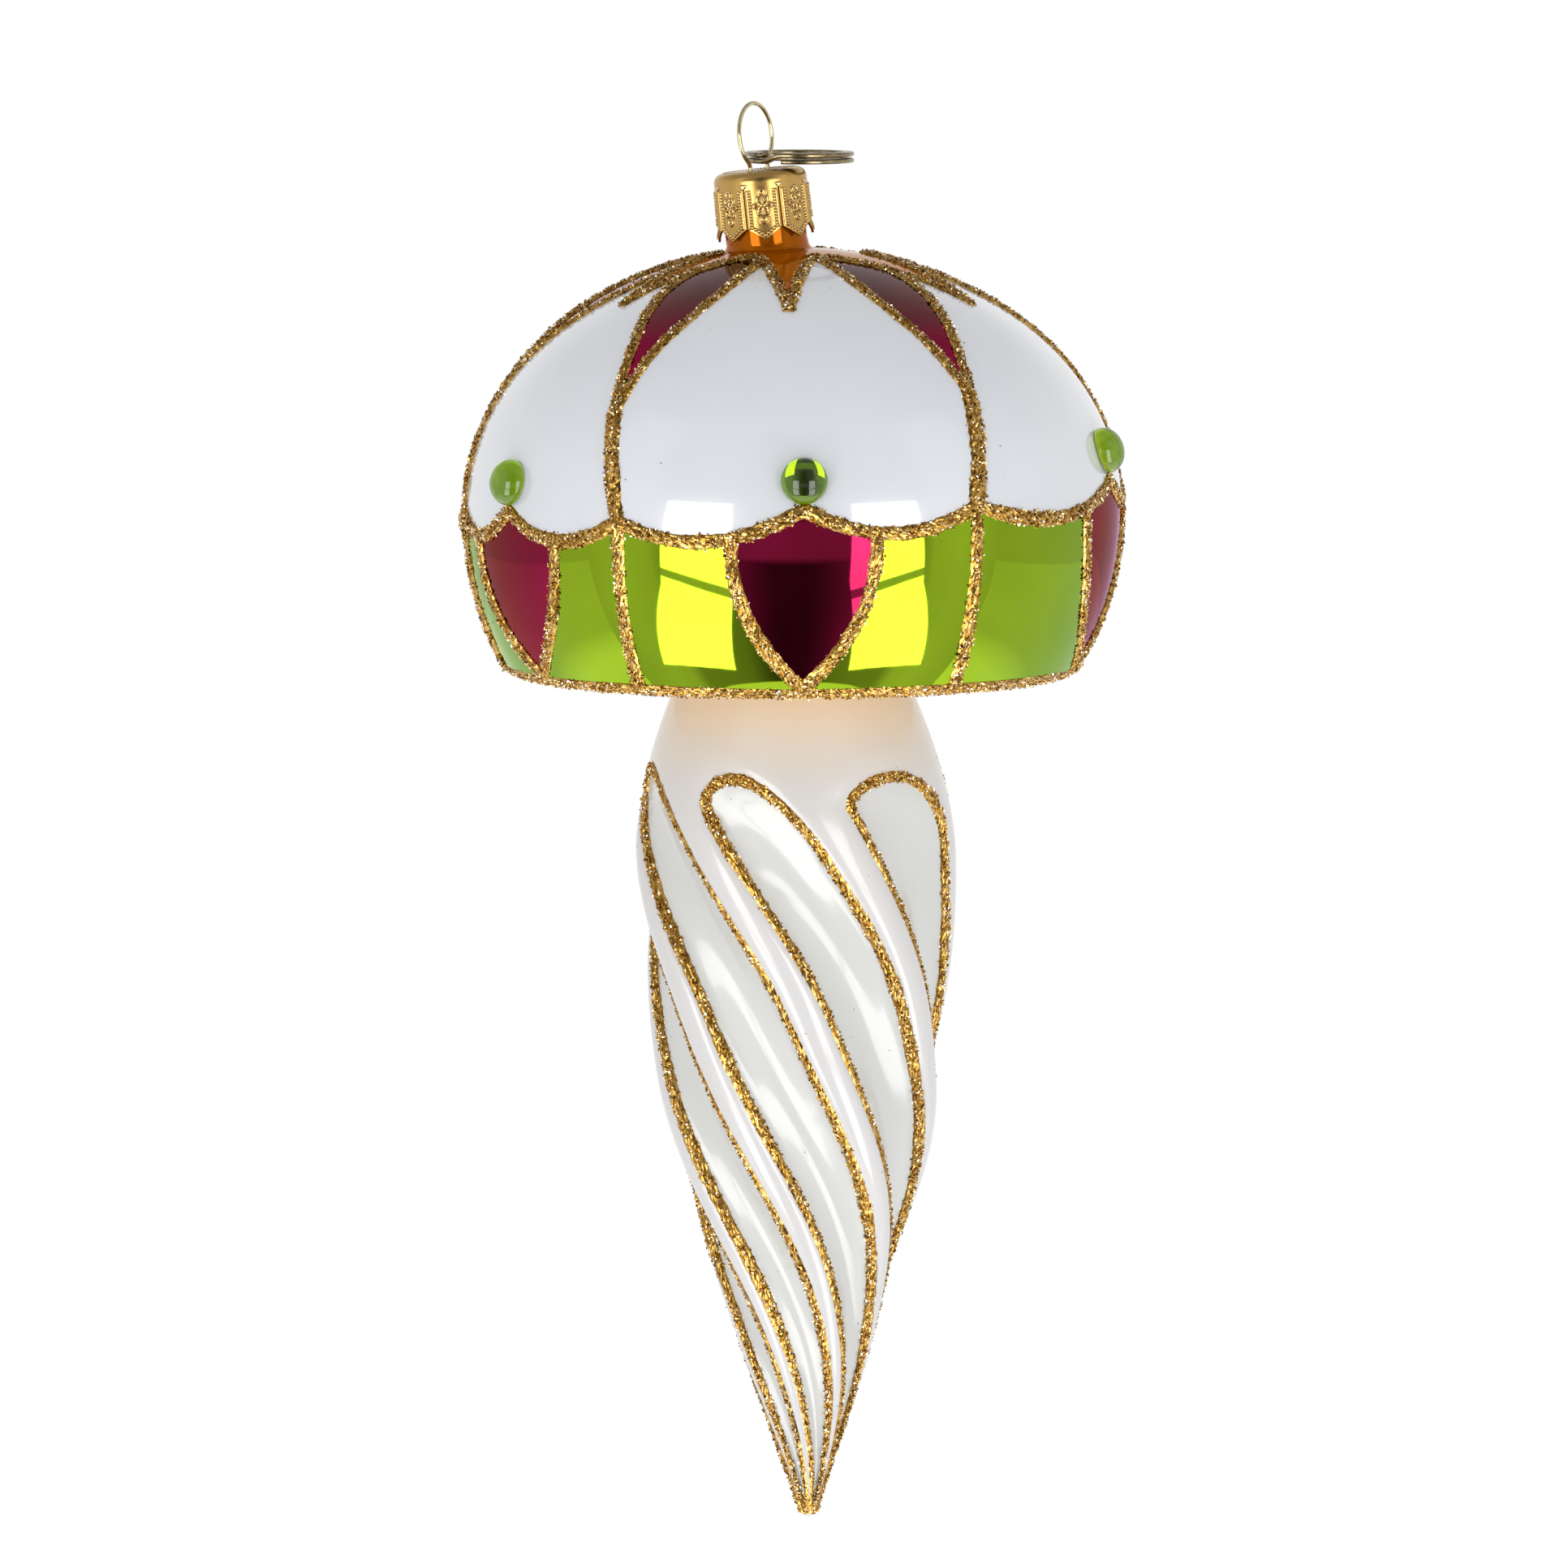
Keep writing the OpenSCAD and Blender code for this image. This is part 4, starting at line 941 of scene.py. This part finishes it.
def crown():
    """Flat top with two holes, round shoulder, and pointed petals that each stand off a little."""
    per, flap_rows, flat_r = 60, 90, CROWN_R - CROWN_SHOULDER
    x = steps(-(HALF - SLIT_W / 2), HALF - SLIT_W / 2, per)
    a = chain([k * 360 / POINTS + np.degrees(x / CROWN_R) for k in range(POINTS)])
    m, knurl = len(a), KNURL_H * np.abs(sin(a * KNURLS))
    rows = [around(r, a, CROWN_TOP + knurl * ridge(r - KNURL_R, 0.16)) for r in steps(0.05, flat_r, 40)]
    rows += [around(flat_r + CROWN_SHOULDER * cos(b), a, SHOULDER_Z + CROWN_SHOULDER * sin(b))
             for b in steps(90, 0, 16)[1:]]
    high = [np.zeros(m)] * len(rows)
    for z in steps(SHOULDER_Z, SLIT_TOP, 15)[1:]:
        high.append(emboss(np.tile(x, POINTS), z))
        rows.append(around(CROWN_R + high[-1], a, z))
    verts, shade = [chain(rows)], [relief_shade(np.stack(high))]
    faces = grid_faces(len(rows), m, wrap=True)
    middle = verts[0][faces].mean(1)
    holes = [side * LEG_X * np.array([cos(LOOP_TURN), sin(LOOP_TURN)]) for side in (-1, 1)]
    outside = np.all([np.hypot(*(middle[:, :2] - hole).T) > HOLE_R for hole in holes], 0)
    faces = [faces[outside | (middle[:, 2] < CROWN_TOP - 0.5)]]
    start = len(rows) * m
    for k in range(POINTS):
        z = mix(SLIT_TOP, CROWN_LOW + POINT_H * np.abs(x) / HALF, steps(0, 1, flap_rows)[1:, None])
        flare = rng.uniform(0.0, MOST_FLARE) * ((SLIT_TOP - z) / (SLIT_TOP - CROWN_LOW)) ** 2
        high = emboss(x + 0 * z, z)
        shade.append(relief_shade(high))
        verts.append(around(CROWN_R + flare + high, a[k * per:(k + 1) * per], z).reshape(-1, 3))
        rim = (len(rows) - 1) * m + k * per + np.arange(per)
        below = start + np.arange((flap_rows - 1) * per)
        faces.append(chain([rim, below])[grid_faces(flap_rows, per)])
        start += len(below)
    verts = on_neck(chain(verts))
    faces = outward(verts, chain(faces), on_neck([0, 0, 5.0]))
    piece = make_piece("crown_cap", verts, faces, crown_gold, "crown", ["crown_cap"],
                       grain=chain([h.ravel() for h in shade]))
    sheet = piece.modifiers.new("sheet", "SOLIDIFY")
    sheet.thickness, sheet.offset = CROWN_SHEET * MM, -1


# Hanger wire and split ring
RING_AT = np.array([5.7648, 3.01865, -7.03662]) + HANG
RING_MID_R, RING_W, RING_H, RING_TURN_H, RING_START, RING_STEP = 6.0, 1.4, 1.4, 0.61, 250, 26


def arc(centre, r, a0, a1, count):
    a = steps(a0, a1, count)
    return columns(centre[0] + r * cos(a), centre[1] + r * sin(a))


def in_loop(p):
    """From the plane of the wire to the glass frame."""
    return on_neck(columns(p[..., 0] * cos(LOOP_TURN), p[..., 0] * sin(LOOP_TURN), p[..., 1]))


def hanger():
    """Spring wire: splayed legs in the cap, reverse bends on the crown and the round loop."""
    bend_z = LOOP_Z - np.sqrt((LOOP_R + BEND_R) ** 2 - (LEG_X + BEND_R) ** 2)
    turn = np.degrees(np.arctan((LEG_X + BEND_R) / (LOOP_Z - bend_z)))
    elbow = arc((LEG_X + ELBOW_R, LEG_LOW), ELBOW_R, 180 + SPLAY, 180, 8)
    end = elbow[0] + SPLAY_LEN * np.array([sin(SPLAY), -cos(SPLAY)])
    leg = chain([[mix(end, elbow[0], f) for f in steps(0, 1, 12)[:-1]], elbow,
                 [(LEG_X, z) for z in steps(LEG_LOW, bend_z, 10)[1:-1]],
                 arc((LEG_X + BEND_R, bend_z), BEND_R, 180, 90 + turn, 16)])
    loop = arc((0, LOOP_Z), LOOP_R, turn - 90, 270 - turn, 110)[1:-1]
    path = chain([leg, loop, (leg * [-1, 1])[::-1]])
    ahead = unit(np.gradient(path, axis=0))
    side = in_loop(columns(ahead[:, 1], -ahead[:, 0])) - NECK_AT
    up = np.broadcast_to(on_neck([-sin(LOOP_TURN), cos(LOOP_TURN), 0]) - NECK_AT, side.shape)
    a = steps(0, 360, 18, endpoint=False)
    verts, faces = sweep(in_loop(path), side, up, WIRE_SEEN_R * columns(cos(a), sin(a)))
    make_piece("hanger_wire", verts, faces, wire_brass, "hanger", ["hanger_wire"])


def square(x):
    return np.sign(x) * np.abs(x) ** 0.55


def split_ring():
    """Two turns of flat wire with a kinked step between them and both cut ends beside it."""
    a = steps(RING_START, RING_START + 720 - RING_STEP, 420)
    past = a - (RING_START + 360 - RING_STEP)
    rise = smooth(past / RING_STEP) * (RING_H - RING_TURN_H)
    r = RING_MID_R + 0.03 * sin(3 * a) + 0.10 * ridge(past - RING_STEP / 2, 9)
    points = RING_AT + columns(r * cos(a), r * sin(a), rise + RING_TURN_H / 2)
    side = columns(cos(a), sin(a), 0 * a)
    up = np.broadcast_to([0.0, 0.0, 1.0], points.shape)
    b = steps(360, 0, 20, endpoint=False)
    section = columns(RING_W / 2 * square(cos(b)), RING_TURN_H / 2 * square(sin(b)))
    verts, faces = sweep(points, side, up, section)
    make_piece("split_ring", verts, faces, ring_brass, "ring", ["split_ring"])


crown()
hanger()
split_ring()


# Studio: a pale floor well below the hanging ornament, two tall softboxes that lean in below, and a card
# between and beside them, dark where the camera stands. Lengths are in metres, elevations in degrees.
AIM, MIDDLE = row([-1.0, 0, -34.2]), row([0, 0, 0])
EYE_AWAY, EYE_UP, VIEW_W, SENSOR_W = 1.1, 6.2, 0.1932, 36
FLOOR_Z, FLOOR_HALF, FLOOR_NEAR, FLOOR_FAR, NEAR_SHINE = -1.5, 6.0, 1.75, 2.3, 2.3
LAMP_AWAY, LAMP_LIGHT, LAMP_SEEN = 0.8, 2.7, 2.2
LAMP_EL, LAMP_IN, LAMP_OUT = [-58, -20, 11], [29, 20, 20], [67, 47, 43]
# Elevations of each box's lower and upper edge, at its inner and outer side
BOXES = dict(upper=((-23.5, -15.5), (11, 11)), lower=((-52, -46), (-26.5, -18)),
             between=((-26.5, -18), (-23.5, -15.5)))
# The card's greys at angles off its sides, and its pale strip's fading edges
CARD_AWAY, STRIP, STRIP_SHINE = LAMP_AWAY + 0.12, (-15.5, -12.5, 1.0, 6.0), 0.6
CARD_GREYS = ((15, 0.95), (30, 1.12), (40, 1.02), (46, 0.52), (62, 0.46), (70, 0.40), (84, 0.09))


class Glow(Paint):
    """A new material that only shines."""

    def finish(self, strength):
        self.tree.nodes.remove(self.shader)
        shine = self.add("ShaderNodeEmission", {"Color": (1, 1, 1, 1), "Strength": strength})
        self.fill(self.tree.nodes["Material Output"], {"Surface": shine.outputs["Emission"]})
        return self.made


def stage_mesh(name, verts, faces, paint):
    """A piece of the studio."""
    piece = put_mesh(name, verts.reshape(-1, 3), faces, paint, True)
    return piece


def towards(a, e, r):
    """Places round the ornament at angle a and elevation e, r away on the level."""
    return MIDDLE + around(r, a, r * np.tan(np.radians(e)))


def floor():
    """Pale floor, brighter near the ornament, that shines a little in mirrors and to the camera."""
    paint = Paint("pale_floor", Emission_Color=(1, 1, 1, 1))
    away = paint.vector("LENGTH", paint.vector("MULTIPLY", paint.place, (1.0, 1.0, 0.0)), out="Value")
    near = paint.spread(away, NEAR_SHINE, 1.0, FLOOR_NEAR, FLOOR_FAR)
    shine = paint.spread(paint.rays("Camera", "Glossy", "Transmission"), 0.05, 0.5)
    paint.link(Base_Color=paint.ramp(paint.noise(300, 3), (0.3, 0.80), (0.7, 0.83)),
               Roughness=paint.spread(paint.noise(40, 3), 0.7, 0.9),
               Emission_Strength=paint.maths("MULTIPLY", shine, near))
    x, y = FLOOR_HALF * np.array([(-1, 1, 1, -1), (-1, -1, 1, 1)])
    stage_mesh("floor", columns(x, y, FLOOR_Z), np.arange(4)[None], paint.made)


def card():
    """Card that only mirrors see: dark round the camera but for a pale strip, paler beside the softboxes."""
    glow = Glow("grey_card")
    flat = glow.vector("MULTIPLY", glow.vector("ADD", glow.place, (-MIDDLE[0], 0.0, 0.0)), (1.0, 1.0, 0.0))
    front = glow.vector("DOT_PRODUCT", glow.vector("NORMALIZE", flat), (0.0, -1.0, 0.0), out="Value")
    grey = glow.ramp(front, *((sin(a), g) for a, g in CARD_GREYS))
    levels = [towards(0, e, CARD_AWAY)[2] for e in STRIP]
    strip = glow.maths("MULTIPLY", glow.spread(glow.height(), 0, STRIP_SHINE, levels[0], levels[1]),
                       glow.spread(glow.height(), 0, 1, levels[3], levels[2]))
    a, e = np.meshgrid(steps(-75, 75, 61), steps(-63, 48, 12))
    piece = stage_mesh("grey_card", towards(a, e, CARD_AWAY), grid_faces(*a.shape),
                       glow.finish(glow.maths("MAXIMUM", grey, strip)))
    piece.visible_camera = piece.visible_diffuse = piece.visible_shadow = False


def softboxes():
    """Each side: an upper and a lower box with a slanted gap between, brighter in mirrors than as lights."""
    glow = Glow("softbox")
    even = glow.spread(glow.noise(400, 1), LAMP_LIGHT * 0.92, LAMP_LIGHT * 1.08)
    lit = glow.finish(glow.maths("MULTIPLY", even, glow.spread(glow.rays("Glossy"), 1.0, LAMP_SEEN)))
    glow = Glow("box_frame")
    dim = glow.finish(glow.spread(glow.noise(400, 1), 0.95, 1.15))
    across, up = np.meshgrid(steps(0, 1, 5), steps(0, 1, 13))
    for side in (-1, 1):
        for name, (low, high) in BOXES.items():
            e = mix(mix(*low, across), mix(*high, across), up)
            a = mix(np.interp(e, LAMP_EL, LAMP_IN), np.interp(e, LAMP_EL, LAMP_OUT), across)
            box = stage_mesh("softbox_" + name, towards(side * a, e, LAMP_AWAY), grid_faces(*a.shape),
                             dim if name == "between" else lit)
            box.visible_camera = box.visible_shadow = False
            box.visible_diffuse = name != "between"


def world():
    """White to the camera; in mirrors white at the sides and grey overhead; dimmer as a light."""
    made = bpy.data.worlds.new("studio")
    bpy.context.scene.world = made
    made.use_nodes = True
    sky = Nodes(made.node_tree, "Generated")
    mirrored = sky.ramp(sky.height(), (0.30, 0.95), (0.72, 0.52), (0.95, 0.45))
    fill = sky.ramp(sky.height(), (0.0, 0.56), (0.9, 0.84))
    light = sky.add("ShaderNodeMix", {"Factor": sky.rays("Glossy"), "A": fill, "B": mirrored})
    strength = sky.maths("MAXIMUM", light.outputs["Result"], sky.rays("Camera", "Transmission"))
    sky.fill(made.node_tree.nodes["Background"], {"Color": (1, 1, 1, 1), "Strength": strength})


def camera():
    lens = bpy.data.cameras.new("camera")
    lens.sensor_width, lens.lens = SENSOR_W, SENSOR_W * EYE_AWAY / VIEW_W
    eye = put("camera", lens)
    eye.location = AIM + EYE_AWAY * np.array([0, -cos(EYE_UP), sin(EYE_UP)])
    eye.rotation_euler = (np.radians(90 - EYE_UP), 0, 0)
    bpy.context.scene.camera = eye


floor()
card()
softboxes()
world()
camera()
bpy.context.scene.view_settings.view_transform = "Standard"
